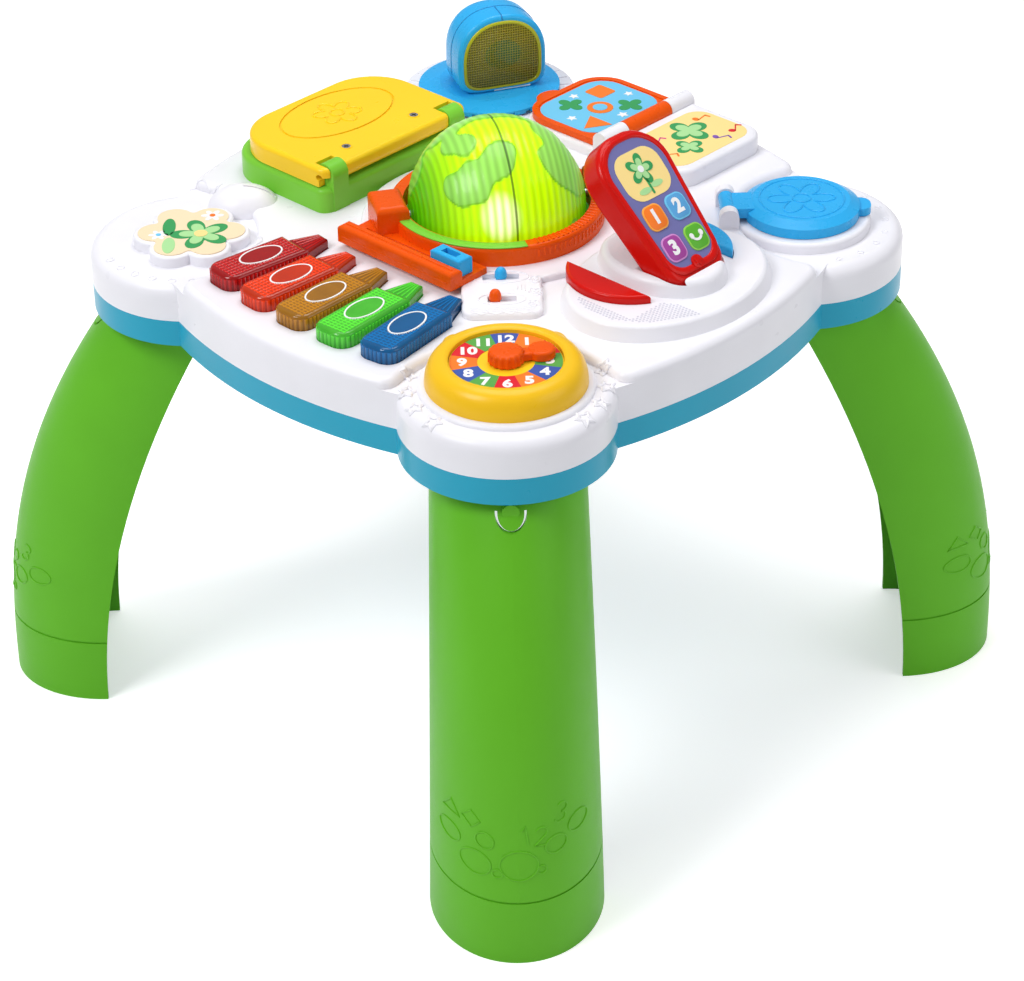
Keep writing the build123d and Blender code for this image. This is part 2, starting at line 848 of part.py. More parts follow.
def leg_loft(inset, behind):
    """Solid through the leg's half-round sections, each drawn in by the inset."""
    sections = []
    for index in range(leg_section_count):
        height = underside_height * index / (leg_section_count - 1)
        start = leg_open_at(height)
        depth = leg_outer_reach(height) - start - inset
        section = half_round(depth, leg_half_width(height) - inset)
        if behind:
            middle = Pos(-behind / 2, 0) * Rectangle(behind, 2 * (leg_half_width(height) - inset))
            section = section + middle
        sections.append(Pos(start, 0, height) * section)
    return loft(sections)


def leg():
    outer = leg_loft(0, 0)
    inner = leg_loft(leg_wall, overrun)
    channel = outer - inner
    slab = box_between((0, -leg_floor_reach, leg_groove_height - leg_groove_width / 2),
                       (2 * leg_floor_reach, leg_floor_reach, leg_groove_height + leg_groove_width / 2))
    channel -= (outer & slab) - leg_loft(leg_groove_depth, overrun)
    cap = (inner & prism(Rectangle(2 * leg_floor_reach, leg_floor_reach), underside_height - leg_wall,
                         underside_height))
    channel += cap
    channel += prism(leg_plug_outline(0), underside_height - leg_wall, underside_height + leg_plug_height)
    reach = leg_outer_reach(leg_tab_height)
    face = Plane(origin=(reach - leg_tab_depth, 0, leg_tab_height), x_dir=(0, 1, 0), z_dir=(1, 0, 0))
    ring = SlotOverall(leg_tab_straight + leg_tab_width, leg_tab_width, rotation=90)
    ring -= offset(ring, -leg_tab_slot)
    ring &= Pos(0, -leg_tab_width) * Rectangle(2 * leg_tab_width, 2 * leg_tab_width)
    channel -= face * extrude(ring, 2 * leg_tab_depth)
    button = face * extrude(Circle(leg_button_radius), leg_tab_depth + leg_button_rise)
    return channel + (button - inner)


# Globe, stand and slider

def globe_frame():
    """Frame at the globe's centre with +X along the axle."""
    return Pos(0, 0, globe_height) * Rot(0, 0, globe_axle_degrees)


def bar_along_x(radius, start, end):
    return Pos(start, 0, 0) * Rot(0, 90, 0) * extrude(Circle(radius), end - start)


def globe_half(side):
    """Half shell of the globe, turned about the axle, with a bored hub inside its pole."""
    inner_radius = globe_radius - globe_wall
    bore_degrees = degrees(asin(globe_axle_radius / globe_radius))
    hub_degrees = degrees(asin(globe_hub_radius / inner_radius))
    hub_start = globe_radius - globe_hub_length
    outer = CenterArc((0, 0), globe_radius, bore_degrees, 90 - bore_degrees)
    inner = CenterArc((0, 0), inner_radius, hub_degrees, 90 - hub_degrees)
    hub = Polyline(outer @ 0, (hub_start, globe_axle_radius), (hub_start, globe_hub_radius), inner @ 0)
    half = revolve(make_face(outer + hub + inner + Line(inner @ 1, outer @ 1)), Axis.X)
    return globe_frame() * (half if side > 0 else Rot(0, 0, 180) * half)


def globe_stand():
    low = plateau_height
    ring = prism(Circle(ring_outer_radius) - Circle(ring_inner_radius), low, ring_height)
    stand = round_rim(ring, ring_edge_radius)
    for turn in (0, 180):
        post = box_between((post_inner_reach, -post_width / 2, low),
                           (post_outer_reach, post_width / 2, post_height))
        post = round_top(post, post_edge_radius)
        stand += Rot(0, 0, globe_axle_degrees + turn) * post
    left = tray_side - tray_length / 2
    right = tray_side + tray_length / 2
    bar_near = tray_bar_middle + tray_bar_width / 2
    bar_far = tray_bar_middle - tray_bar_width / 2
    bar = box_between((left, -bar_near, low), (right, -bar_far, tray_bar_height))
    bar = round_top(bar, tray_bar_edge)
    floor = box_between((left, -bar_near + tray_bar_edge, low), (right, -ring_inner_radius, tray_floor_height))
    tray = bar + floor
    slot = Pos(tray_side, -slider_middle()) * Rectangle(tray_slot_length, tray_slot_width)
    tray -= prism(slot, low - overrun, tray_bar_height)
    stand += tray
    clear = prism(Circle(ring_inner_radius), low - overrun, ring_height + overrun)
    clear += globe_frame() * Sphere(ring_inner_radius)
    stand -= clear
    bore_end = globe_axle_reach + running_clearance
    return stand - globe_frame() * bar_along_x(globe_axle_radius + pin_fit, -bore_end, bore_end)


def slider_middle():
    return tray_bar_middle - tray_bar_width / 2 - seat_clearance - slider_width / 2


def slider_block():
    low = tray_floor_height + seat_clearance
    block = box_between((-slider_length / 2, -slider_width / 2, low),
                        (slider_length / 2, slider_width / 2, slider_height))
    block = round_top(block, slider_edge)
    foot = box_between((-slider_foot_length / 2, -slider_foot_width / 2, low - slider_foot_drop),
                       (slider_foot_length / 2, slider_foot_width / 2, low))
    block += foot
    hole_low = low + slider_foot_drop
    block -= prism(Rectangle(slider_hole_length, slider_hole_width), hole_low, slider_height + overrun)
    return Pos(slider_rest, -slider_middle(), 0) * block


# Switches

def switch_knob():
    """Round-topped finger knob on a neck that runs in its slot."""
    low = plateau_height - switch_slot_depth + switch_clearance
    high = plateau_height + switch_knob_rise
    shoulder = plateau_height + switch_clearance
    neck = prism(Rectangle(switch_neck_width, 2 * switch_knob_radius), low, shoulder)
    cap = prism(Circle(switch_knob_radius), shoulder, high)
    return neck + round_top(cap, switch_knob_radius / 2)


# Clock

def clock_bezel():
    seat_top = dial_height - dial_thickness
    profile = make_face(Polyline(
        (bezel_foot_radius, lobe_deck_height), (bezel_waist_radius, bezel_waist_height),
        (bezel_rim_radius, bezel_height), (bezel_lip_radius, bezel_height),
        (dial_radius + dial_clearance, dial_height), (dial_radius + dial_clearance, seat_top),
        (dial_seat_radius, seat_top), (dial_seat_radius, seat_top - dial_seat_thickness),
        (bezel_lip_radius, seat_top - dial_seat_thickness), (bezel_lip_radius, lobe_deck_height),
        close=True))
    bezel = revolve(Plane.XZ * profile, Axis.Z)
    ear_outer = Circle(bezel_ear_radius)
    for side in (-1, 1):
        ear = Rot(0, 0, 180 + side * bezel_ear_degrees) * Pos(bezel_ear_reach, 0) * ear_outer
        ear = round_top(prism(ear, lobe_deck_height, bezel_height - bezel_ear_drop), bezel_ear_drop)
        room = prism(Circle(bezel_lip_radius + bezel_ear_drop), lobe_deck_height - overrun, bezel_height)
        bezel += ear - room
    return bezel


def clock_dial():
    disc = prism(Circle(dial_radius), dial_height - dial_thickness, dial_height)
    return disc - prism(Circle(clock_pin_radius), dial_height - wall, dial_height + overrun)


def clock_hand():
    low = dial_height + seat_clearance
    knob = Circle(knob_radius)
    for index in range(knob_flute_count):
        turn = Rot(0, 0, index * 360 / knob_flute_count)
        knob -= turn * Pos(knob_radius + knob_flute_radius / 2, 0) * Circle(knob_flute_radius)
    hand = prism(knob, low, knob_height)
    pointer = Pos(hand_reach / 2, 0) * Rectangle(hand_reach, hand_neck_width)
    pointer += Pos(hand_reach, 0) * Circle(hand_end_radius)
    hand += prism(pointer, low, hand_height)
    hand -= prism(Circle(clock_pin_radius + pin_fit), low - overrun, knob_height - wall)
    return Rot(0, 0, 180 - 360 * hand_hours / hours_on_dial) * hand


def clock_pin():
    pin = prism(Circle(clock_pin_radius), lobe_deck_height - wall, knob_height - wall - seat_clearance)
    low = lobe_deck_height - wall - clock_pin_head
    return pin + prism(Circle(clock_pin_head_radius), low, lobe_deck_height - wall)


# Lidded dish

def dish_lid():
    low = dish_ring_height + seat_clearance
    profile = make_face(Polyline((0, low), (lid_radius, low), (lid_radius, lid_skirt_height),
                                 (lid_crown_radius, lid_crown_height), (0, lid_crown_height), close=True))
    lid = revolve(Plane.XZ * profile, Axis.Z)
    half = lid_barrel_width / 2
    tab_low = lid_barrel_height - lid_tab_thickness / 2
    tab = box_between((-lid_barrel_reach, -half, tab_low),
                      (-lid_crown_radius, half, tab_low + lid_tab_thickness))
    lip = box_between((lid_crown_radius, -lid_lip_width / 2, low),
                      (lid_lip_reach, lid_lip_width / 2, low + lid_lip_thickness))
    lip = fillet(lip.edges().filter_by(Axis.Z).sort_by(Axis.X)[-2:], lid_lip_width / 2 - lid_edge_radius)
    barrel = Pos(-lid_barrel_reach, 0, lid_barrel_height)
    lid += tab + lip + barrel * tube_along_y(lid_barrel_radius, -half, half)
    return lid - barrel * tube_along_y(lid_pin_radius + pin_fit, -half - overrun, half + overrun)


def lid_pin():
    end = lid_barrel_width / 2 + running_clearance + lid_post_width - wall
    return Pos(-lid_barrel_reach, 0, lid_barrel_height) * tube_along_y(lid_pin_radius, -end, end)


# Lamp

def lamp_base():
    low = lamp_seat_height + lamp_rib_rise + running_clearance
    profile = make_face(Polyline((0, low), (lamp_base_radius, low), (lamp_base_radius, low + lamp_base_rim),
                                 (lamp_base_top_radius, lamp_base_height), (0, lamp_base_height), close=True))
    base = revolve(Plane.XZ * profile, Axis.Z)
    tooth = Pos(lamp_base_radius, 0, low) * Box(2 * lamp_tooth_depth, lamp_tooth_width, 2 * lamp_tooth_depth)
    for index in range(lamp_tooth_count):
        base -= Rot(0, 0, index * 360 / lamp_tooth_count) * tooth
    clear = lamp_pivot_radius + pin_fit
    return base - prism(Circle(clear), low - overrun, lamp_pivot_height + seat_clearance)


def lamp_outline(inset):
    """Arch of the lamp's head, drawn flat with Y up and its foot on the X axis."""
    half = lamp_head_width / 2
    arch = Pos(0, lamp_head_straight) * Circle(half)
    arch += Pos(0, lamp_head_straight / 2) * Rectangle(lamp_head_width, lamp_head_straight)
    arch &= Pos(0, lamp_head_width / 2) * Rectangle(2 * lamp_head_width, lamp_head_width + lamp_head_straight)
    arch = arch & Pos(0, lamp_head_width) * Rectangle(2 * lamp_head_width, 2 * lamp_head_width)
    arch = corner_rounded(arch, lambda v: v.sort_by(Axis.Y)[:2], lamp_head_edge)
    return offset(arch, -inset) if inset else arch


def lamp_face(depth):
    """Upright plane across the lamp's head, facing the middle of the table, at a depth before its axis."""
    return Plane(origin=(-depth, 0, lamp_base_height), x_dir=(0, -1, 0), z_dir=(-1, 0, 0))


def lamp_head():
    half = lamp_head_depth / 2
    head = lamp_face(-half) * extrude(lamp_outline(0), lamp_head_depth)
    ends = head.faces().sort_by(Axis.X)
    head = fillet(ends[0].edges() + ends[-1].edges(), lamp_head_edge - overrun)
    head -= lamp_face(half - lens_recess) * extrude(lamp_outline(lens_border), lens_recess + overrun)
    hollow = lamp_outline(lens_border + lamp_wall)
    return head - lamp_face(-half + lamp_head_edge) * extrude(hollow, lamp_head_depth)


def lamp_lens():
    half = lamp_head_depth / 2
    lens = lamp_face(half - lens_recess) * extrude(lamp_outline(lens_border), lens_thickness)
    return fillet(lens.faces().sort_by(Axis.X)[0].edges(), lens_bulge)


def lamp_bulb():
    back = -lamp_head_depth / 2 + lamp_head_edge
    middle = lamp_head_straight + lens_border
    return lamp_face(back) * Pos(0, middle) * extrude(Circle(lamp_bulb_radius), lamp_bulb_length)


# Play laptop

def laptop_outline(inner, outer, half_width, outer_corner, inner_corner):
    outline = Pos(-(inner + outer) / 2, 0) * Rectangle(outer - inner, 2 * half_width)
    outline = corner_rounded(outline, lambda v: v.sort_by(Axis.X)[:2], outer_corner)
    return corner_rounded(outline, lambda v: v.sort_by(Axis.X)[-2:], inner_corner)


def keyboard_outline(inset):
    outline = Pos(-(keyboard_inner + keyboard_outer) / 2, 0)
    outline *= Rectangle(keyboard_outer - keyboard_inner - 2 * inset, 2 * (keyboard_half_width - inset))
    return fillet(outline.vertices(), keyboard_corner - inset)


def laptop_base():
    outline = laptop_outline(laptop_inner, laptop_outer, laptop_half_width,
                             laptop_outer_corner, laptop_inner_corner)
    base = round_top(prism(outline, deck_height, laptop_base_height), laptop_base_edge)
    base -= prism(keyboard_outline(0), laptop_base_height - keyboard_pocket_depth, laptop_base_height + overrun)
    hinge = Pos(-laptop_hinge_reach, 0, laptop_hinge_height)
    for side in (-1, 1):
        middle = side * laptop_arm_middle
        near = middle - laptop_arm_width / 2
        arm = hinge * tube_along_y(laptop_arm_half_depth, near, near + laptop_arm_width)
        arm += box_between(
            (-laptop_hinge_reach - laptop_arm_half_depth, near, deck_height),
            (-laptop_hinge_reach + laptop_arm_half_depth, near + laptop_arm_width, laptop_hinge_height))
        base += arm
    end = laptop_arm_middle + laptop_arm_width / 2 - wall
    return base - hinge * tube_along_y(laptop_pin_radius, -end, end)


def laptop_keyboard():
    low = laptop_base_height - keyboard_pocket_depth
    top = low + keyboard_thickness
    board = prism(keyboard_outline(seat_clearance), low, top)
    row_pitch = (keyboard_outer - keyboard_inner - 2 * keyboard_corner) / keyboard_rows
    column_pitch = 2 * (keyboard_half_width - keyboard_corner) / keyboard_columns
    key = Rectangle(row_pitch * keyboard_key_share, column_pitch * keyboard_key_share)
    middle = -(keyboard_inner + keyboard_outer) / 2
    for row in range(keyboard_rows):
        for column in range(keyboard_columns):
            x = middle + (row - (keyboard_rows - 1) / 2) * row_pitch
            y = (column - (keyboard_columns - 1) / 2) * column_pitch
            board += Pos(x, y, 0) * prism(key, top, top + keyboard_key_rise)
    return board


def lid_panel_ring():
    outer = Ellipse(lid_panel_short, lid_panel_long)
    inner = Ellipse(lid_panel_short - lid_panel_width, lid_panel_long - lid_panel_width)
    return Pos(-lid_panel_middle, 0) * (outer - inner)


def laptop_lid():
    low = laptop_base_height + laptop_lid_gap
    clear = laptop_arm_half_depth + running_clearance
    inner = laptop_hinge_reach - laptop_hinge_radius
    outline = laptop_outline(inner, laptop_lid_outer, laptop_lid_half_width,
                             laptop_lid_corner, laptop_inner_corner)
    lid = round_top(prism(outline, low, laptop_lid_height), laptop_lid_edge)
    for side in (-1, 1):
        notch = Pos(-laptop_hinge_reach + clear, side * laptop_arm_middle)
        notch *= Rectangle(4 * clear, laptop_arm_width + 2 * running_clearance)
        lid -= prism(notch, low - overrun, laptop_lid_height + overrun)
    lid -= prism(lid_panel_ring(), laptop_lid_height - lid_panel_rise, laptop_lid_height + overrun)
    hinge = Pos(-laptop_hinge_reach, 0, laptop_hinge_height)
    under = box_between((-laptop_hinge_reach, -laptop_lid_half_width, low - overrun),
                        (0, laptop_lid_half_width, laptop_hinge_height))
    reach = laptop_arm_middle - laptop_arm_width / 2 - running_clearance
    lid = lid - under + hinge * tube_along_y(laptop_hinge_radius, -reach, reach)
    lid -= prism(offset(keyboard_outline(0), -lid_panel_width), low - overrun, low + laptop_screen_depth)
    bore = tube_along_y(laptop_pin_radius + pin_fit, -laptop_lid_half_width, laptop_lid_half_width)
    return lid - hinge * bore


def laptop_screen():
    low = laptop_base_height + laptop_lid_gap
    return prism(offset(keyboard_outline(0), -lid_panel_width), low, low + laptop_screen_depth)


def laptop_pin():
    end = laptop_arm_middle + laptop_arm_width / 2 - wall
    return Pos(-laptop_hinge_reach, 0, laptop_hinge_height) * tube_along_y(laptop_pin_radius, -end, end)


# Telephone pieces

def handset_back():
    back = handset_slab(handset_outline(0), handset_thickness, handset_split)
    rear = back.faces().sort_by(Axis((0, 0, 0), tuple(handset_plane().z_dir)))[0]
    return fillet(rear.edges(), handset_edge_radius)


def handset_front():
    front = handset_slab(handset_outline(0), handset_split, 0)
    face = front.faces().sort_by(Axis((0, 0, 0), tuple(handset_plane().z_dir)))[-1]
    front = fillet(face.edges(), handset_edge_radius)
    return front - handset_slab(handset_outline(-handset_panel_border), handset_panel_depth, -overrun)


def handset_panel():
    panel = handset_slab(handset_outline(-handset_panel_border), handset_panel_depth, 0)
    across = handset_key_across_share * (handset_foot_width / 2 - handset_panel_border / 2)
    for share in handset_key_row_shares:
        for side in (-1, 1):
            key = Pos(side * across, share * handset_length) * RectangleRounded(
                2 * handset_key_radius, 2 * handset_key_radius, handset_key_radius / 2)
            panel += handset_slab(key, 0, -handset_key_rise)
    return panel


def phone_button():
    button = prism(crescent(0), button_bottom_height, button_height)
    return round_top(button, button_edge_radius)


def speaker():
    low = deck_underside - speaker_height
    driver = prism(Circle(speaker_radius), deck_underside - speaker_magnet_height, deck_underside)
    return driver + prism(Circle(speaker_magnet_radius), low, deck_underside - speaker_magnet_height)


# Inner pieces

def circuit_board():
    place = Pos(0, -board_middle, board_height + board_thickness / 2)
    return place * Box(board_width, board_depth, board_thickness)


def dome_mat():
    low = board_height + board_thickness
    mat = Pos(0, -board_middle, 0) * prism(
        Rectangle(board_width - 2 * mat_margin, board_depth - 2 * mat_margin), low, low + mat_thickness)
    top = crayon_bottom_height - crayon_travel - seat_clearance
    for place in crayon_places():
        mat += place * Pos(0, dome_along_share * crayon_length, 0) * prism(Circle(dome_radius), low, top)
    return mat


def battery_box():
    outer = prism(Rectangle(battery_length + 2 * battery_wall, battery_width + 2 * battery_wall),
                  floor_top, floor_top + battery_height)
    inner = prism(Rectangle(battery_length, battery_width), floor_top - overrun,
                  floor_top + battery_height - battery_wall)
    return battery_frame() * (outer - inner)


def battery_cover():
    outline = Rectangle(battery_length - 2 * battery_cover_clearance,
                        battery_width - 2 * battery_cover_clearance)
    return battery_frame() * prism(outline, underside_height, underside_height + battery_cover_thickness)


def battery_cells():
    cells = []
    pitch = 2 * cell_radius + cell_gap
    height = underside_height + battery_cover_thickness + cell_radius
    for index in range(cell_count):
        y = (index - (cell_count - 1) / 2) * pitch
        cell = bar_along_x(cell_radius, -cell_length / 2, cell_length / 2)
        cells.append(battery_frame() * Pos(0, y, height) * cell)
    return Compound(cells)


def case_screws():
    screws = []
    head_top = floor_top + screw_boss_height - screw_sink
    for place in screw_places():
        screw = prism(Circle(screw_head_radius), head_top - screw_head_height, head_top)
        screw += prism(Circle(screw_shank_radius), head_top, head_top + screw_length)
        screws.append(place * screw)
    return Compound(screws)


def build_nodes():
    front_right = lobe_frame("front_right")
    rear_right = lobe_frame("rear_right")
    lamp = lobe_frame("rear_left") * Rot(0, 0, lamp_turn_degrees)
    nodes["top_shell"] = top_shell()
    nodes["bottom_shell"] = bottom_shell()
    standing_leg = leg()
    for corner, turn in lobe_turns.items():
        nodes["leg_" + corner] = Rot(0, 0, turn) * standing_leg
    key = crayon_key()
    for colour, place in zip(("red", "orange", "yellow", "green", "blue"), crayon_places()):
        nodes["crayon_" + colour] = place * key
    nodes["circuit_board"] = circuit_board()
    nodes["dome_mat"] = dome_mat()
    nodes["globe_half_left"] = globe_half(-1)
    nodes["globe_half_right"] = globe_half(1)
    nodes["globe_axle"] = globe_frame() * bar_along_x(globe_axle_radius, -globe_axle_reach, globe_axle_reach)
    nodes["globe_stand"] = globe_stand()
    nodes["slider_block"] = slider_block()
    nodes["volume_switch"] = switch_frame(volume_reach) * switch_knob()
    nodes["language_switch"] = switch_frame(language_reach) * Pos(0, -language_rest, 0) * switch_knob()
    nodes["clock_bezel"] = front_right * clock_bezel()
    nodes["clock_dial"] = front_right * clock_dial()
    nodes["clock_hand"] = front_right * clock_hand()
    nodes["clock_pin"] = front_right * clock_pin()
    nodes["dish_lid"] = rear_right * dish_lid()
    nodes["dish_lid_pin"] = rear_right * lid_pin()
    nodes["lamp_base"] = lamp * lamp_base()
    nodes["lamp_head"] = lamp * lamp_head()
    nodes["lamp_lens"] = lamp * lamp_lens()
    nodes["lamp_bulb"] = lamp * lamp_bulb()
    nodes["laptop_base"] = laptop_base()
    nodes["laptop_keyboard"] = laptop_keyboard()
    nodes["laptop_lid"] = laptop_lid()
    nodes["laptop_screen"] = laptop_screen()
    nodes["laptop_pin"] = laptop_pin()
    nodes["book_page"] = book_page()
    hinge = Pos(book_hinge_offset, 0, book_hinge_height)
    nodes["book_pin"] = hinge * tube_along_y(book_pin_radius, book_near + wall, book_far - wall)
    nodes["handset_back"] = handset_back()
    nodes["handset_front"] = handset_front()
    nodes["handset_panel"] = handset_panel()
    for name, place in button_places().items():
        nodes[name] = place * phone_button()
    nodes["speaker"] = Pos(speaker_reach, -speaker_side, 0) * speaker()
    nodes["picture_print"] = pad_frame() * prism(pad_outline(pad_print_inset), pad_height,
                                                 pad_height + pad_print_thickness)
    nodes["battery_box"] = battery_box()
    nodes["battery_cover"] = battery_cover()
    nodes["battery_cells"] = battery_cells()
    nodes["case_screws"] = case_screws()


build_nodes()
os.makedirs("parts", exist_ok=True)
for name, shape in nodes.items():
    export_step(shape, "parts/" + name + ".step")
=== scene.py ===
import json
from math import cos, exp, pi, radians, sin, sqrt

import bmesh
import bpy
from mathutils import Matrix, Vector
from mathutils.bvhtree import BVHTree


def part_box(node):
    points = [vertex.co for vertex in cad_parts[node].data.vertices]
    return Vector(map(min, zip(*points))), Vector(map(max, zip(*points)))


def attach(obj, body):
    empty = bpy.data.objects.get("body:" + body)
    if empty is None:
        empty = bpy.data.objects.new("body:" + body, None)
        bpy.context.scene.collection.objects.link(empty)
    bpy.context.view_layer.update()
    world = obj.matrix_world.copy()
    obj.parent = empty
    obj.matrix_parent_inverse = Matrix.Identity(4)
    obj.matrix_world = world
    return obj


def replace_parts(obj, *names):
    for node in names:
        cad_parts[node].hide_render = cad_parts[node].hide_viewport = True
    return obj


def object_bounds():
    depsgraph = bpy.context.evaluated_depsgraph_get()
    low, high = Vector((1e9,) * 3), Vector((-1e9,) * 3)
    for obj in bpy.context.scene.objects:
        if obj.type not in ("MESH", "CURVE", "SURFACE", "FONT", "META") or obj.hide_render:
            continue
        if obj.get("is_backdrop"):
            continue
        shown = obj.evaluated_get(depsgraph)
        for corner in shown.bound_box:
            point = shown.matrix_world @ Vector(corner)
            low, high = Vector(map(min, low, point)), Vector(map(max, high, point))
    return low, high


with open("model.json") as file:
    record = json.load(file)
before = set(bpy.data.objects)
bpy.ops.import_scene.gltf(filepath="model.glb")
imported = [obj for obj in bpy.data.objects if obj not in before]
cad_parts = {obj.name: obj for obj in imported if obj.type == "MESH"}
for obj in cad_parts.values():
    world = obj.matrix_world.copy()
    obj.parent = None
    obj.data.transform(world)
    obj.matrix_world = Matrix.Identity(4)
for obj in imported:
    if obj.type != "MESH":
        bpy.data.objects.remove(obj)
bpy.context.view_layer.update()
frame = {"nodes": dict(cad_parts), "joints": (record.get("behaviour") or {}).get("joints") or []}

scene = bpy.context.scene
nodes = frame["nodes"]
joints = {joint["name"]: joint for joint in frame["joints"]}

# Places taken from the frame. Lengths are metres.
clock_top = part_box("clock_dial")[1].z
globe_middle = Vector(joints["globe_spin"]["pos_m"])
globe_axis = Vector(joints["globe_spin"]["axis"])
handset_axis = Vector(joints["handset_lift"]["axis"])
lobe_reach = Vector(joints["clock_hand_turn"]["pos_m"]).to_2d().length
key_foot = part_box("top_shell")[0].z + 0.028
down = Vector((0, 0, -1))


def turned(degrees):
    return Matrix.Rotation(radians(degrees), 4, "Z")


def moved(x, y, z):
    return Matrix.Translation((x, y, z))


def around(reach, degrees, middle=(0, 0)):
    """Flat point at a distance and an angle from a middle."""
    return middle[0] + reach * cos(radians(degrees)), middle[1] + reach * sin(radians(degrees))


def lobe_frame(degrees):
    """Frame at a lobe's centre on the floor, with X pointing away from the middle of the table."""
    return turned(degrees) @ moved(lobe_reach, 0, 0)


clock_frame, pad_frame, dish_frame, lamp_frame = [lobe_frame(degrees) for degrees in (-45, -135, 45, 135)]
sky = 0.6
table_sky = moved(0, 0, sky)


# Shader groups

COLOUR, VALUE, GEOMETRY = "NodeSocketColor", "NodeSocketFloat", "NodeSocketGeometry"


def wire(tree, node, links):
    """Feeds a node's inputs, by name or number, with sockets or plain values."""
    for key, value in links.items():
        if isinstance(value, bpy.types.NodeSocket):
            tree.links.new(value, node.inputs[key])
        else:
            node.inputs[key].default_value = value


def add(tree, kind, links=None, **settings):
    """New node with its settings made and its inputs fed."""
    node = tree.nodes.new(kind)
    for key, value in settings.items():
        setattr(node, key, value)
    wire(tree, node, links or {})
    return node


def math(tree, operation, first, second=0.0):
    return add(tree, "ShaderNodeMath", {0: first, 1: second}, operation=operation).outputs[0]


def blend_colours(tree, factor, first, second, mode="MIX"):
    node = add(tree, "ShaderNodeMix", {0: factor, 6: first, 7: second}, data_type="RGBA", blend_type=mode)
    return node.outputs[2]


def shaded(tree, colour, shade):
    """Colour multiplied by a grey value."""
    grey = add(tree, "ShaderNodeCombineColor", {0: shade, 1: shade, 2: shade}).outputs[0]
    return blend_colours(tree, 1.0, colour, grey, "MULTIPLY")


def ramp(tree, value, low=0.0, high=1.0, start=0.0, end=1.0, kind="LINEAR"):
    links = {0: value, 1: low, 2: high, 3: start, 4: end}
    return add(tree, "ShaderNodeMapRange", links, interpolation_type=kind).outputs[0]


def noise(tree, place, scale, detail):
    return add(tree, "ShaderNodeTexNoise", {"Vector": place, "Scale": scale, "Detail": detail}).outputs[0]


def object_place(tree):
    return add(tree, "ShaderNodeTexCoord").outputs["Object"]


def new_group(name, inputs, outputs):
    group = bpy.data.node_groups.new(name, "ShaderNodeTree")
    for socket, kind, value in inputs:
        made = group.interface.new_socket(name=socket, in_out="INPUT", socket_type=kind)
        made.default_value = value
    for socket, kind in outputs:
        group.interface.new_socket(name=socket, in_out="OUTPUT", socket_type=kind)
    return group, group.nodes.new("NodeGroupInput").outputs, group.nodes.new("NodeGroupOutput")


def moulded_skin_group():
    """Satin moulded plastic: fine spark-eroded grain, faint flow mottling and uneven gloss."""
    group, given, end = new_group("moulded_skin", [
        ("Colour", COLOUR, (1, 1, 1, 1)), ("Mottle", VALUE, 0.06), ("Grain Scale", VALUE, 2600.0),
        ("Gloss", VALUE, 0.3), ("Gloss Spread", VALUE, 0.12)],
        [("Colour", COLOUR), ("Roughness", VALUE), ("Height", VALUE)])
    place = object_place(group)
    flow = math(group, "SUBTRACT", noise(group, place, 26.0, 4.0), 0.5)
    grain = noise(group, place, given["Grain Scale"], 2.0)
    smear = math(group, "SUBTRACT", noise(group, place, 90.0, 3.0), 0.5)
    shade = math(group, "MULTIPLY", math(group, "MULTIPLY", flow, given["Mottle"]), 2.0)
    colour = shaded(group, given["Colour"], math(group, "ADD", shade, 1.0))
    rough = math(group, "ADD", given["Gloss"], math(group, "MULTIPLY", smear, given["Gloss Spread"]))
    wire(group, end, {"Colour": colour, "Roughness": rough, "Height": grain})
    return group


def tinted_clear_group():
    """Tinted clear plastic: deep near its foot and bright near its top, a painted light standing for light
    gathering towards the top, with streaks along the walls.
    """
    group, given, end = new_group("tinted_clear", [
        ("Deep", COLOUR, (0, 0, 0, 1)), ("Bright", COLOUR, (1, 1, 1, 1)), ("Foot", VALUE, 0.318),
        ("Top", VALUE, 0.328), ("Streak Scale", VALUE, 70.0)],
        [("Colour", COLOUR), ("Height", VALUE)])
    place = object_place(group)
    height = add(group, "ShaderNodeSeparateXYZ", {0: place}).outputs[2]
    climb = ramp(group, height, given["Foot"], given["Top"])
    streak = noise(group, place, given["Streak Scale"], 3.0)
    swirls = math(group, "MULTIPLY", math(group, "SUBTRACT", streak, 0.5), 0.45)
    factor = add(group, "ShaderNodeClamp", {0: math(group, "ADD", climb, swirls)}).outputs[0]
    colour = blend_colours(group, factor, given["Deep"], given["Bright"])
    wire(group, end, {"Colour": colour, "Height": streak})
    return group


moulded_skin = moulded_skin_group()
tinted_clear = tinted_clear_group()


# Materials

def new_material(name):
    material = bpy.data.materials.new(name)
    material.use_nodes = True
    return material, material.node_tree, material.node_tree.nodes["Principled BSDF"]


def bumped(tree, height, strength, distance):
    links = {"Height": height, "Strength": strength, "Distance": distance}
    return add(tree, "ShaderNodeBump", links).outputs[0]


def plastic(name, rgb, gloss=0.32, grain=0.10, coat=0.04, mottle=0.05, soft=0.0, shine=0.22):
    """Opaque moulded plastic in one colour with grain, mottling and uneven gloss."""
    material, tree, shader = new_material(name)
    values = {"Colour": (*rgb, 1), "Gloss": gloss, "Mottle": mottle}
    face = add(tree, "ShaderNodeGroup", values, node_tree=moulded_skin).outputs
    wire(tree, shader, {
        "Base Color": face["Colour"], "Roughness": face["Roughness"],
        "Normal": bumped(tree, face["Height"], grain, 0.0003), "Specular IOR Level": shine,
        "Coat Weight": coat, "Coat Roughness": 0.18})
    if soft:
        wire(tree, shader, {"Subsurface Weight": soft, "Subsurface Radius": (0.004, 0.004, 0.004)})
    return material


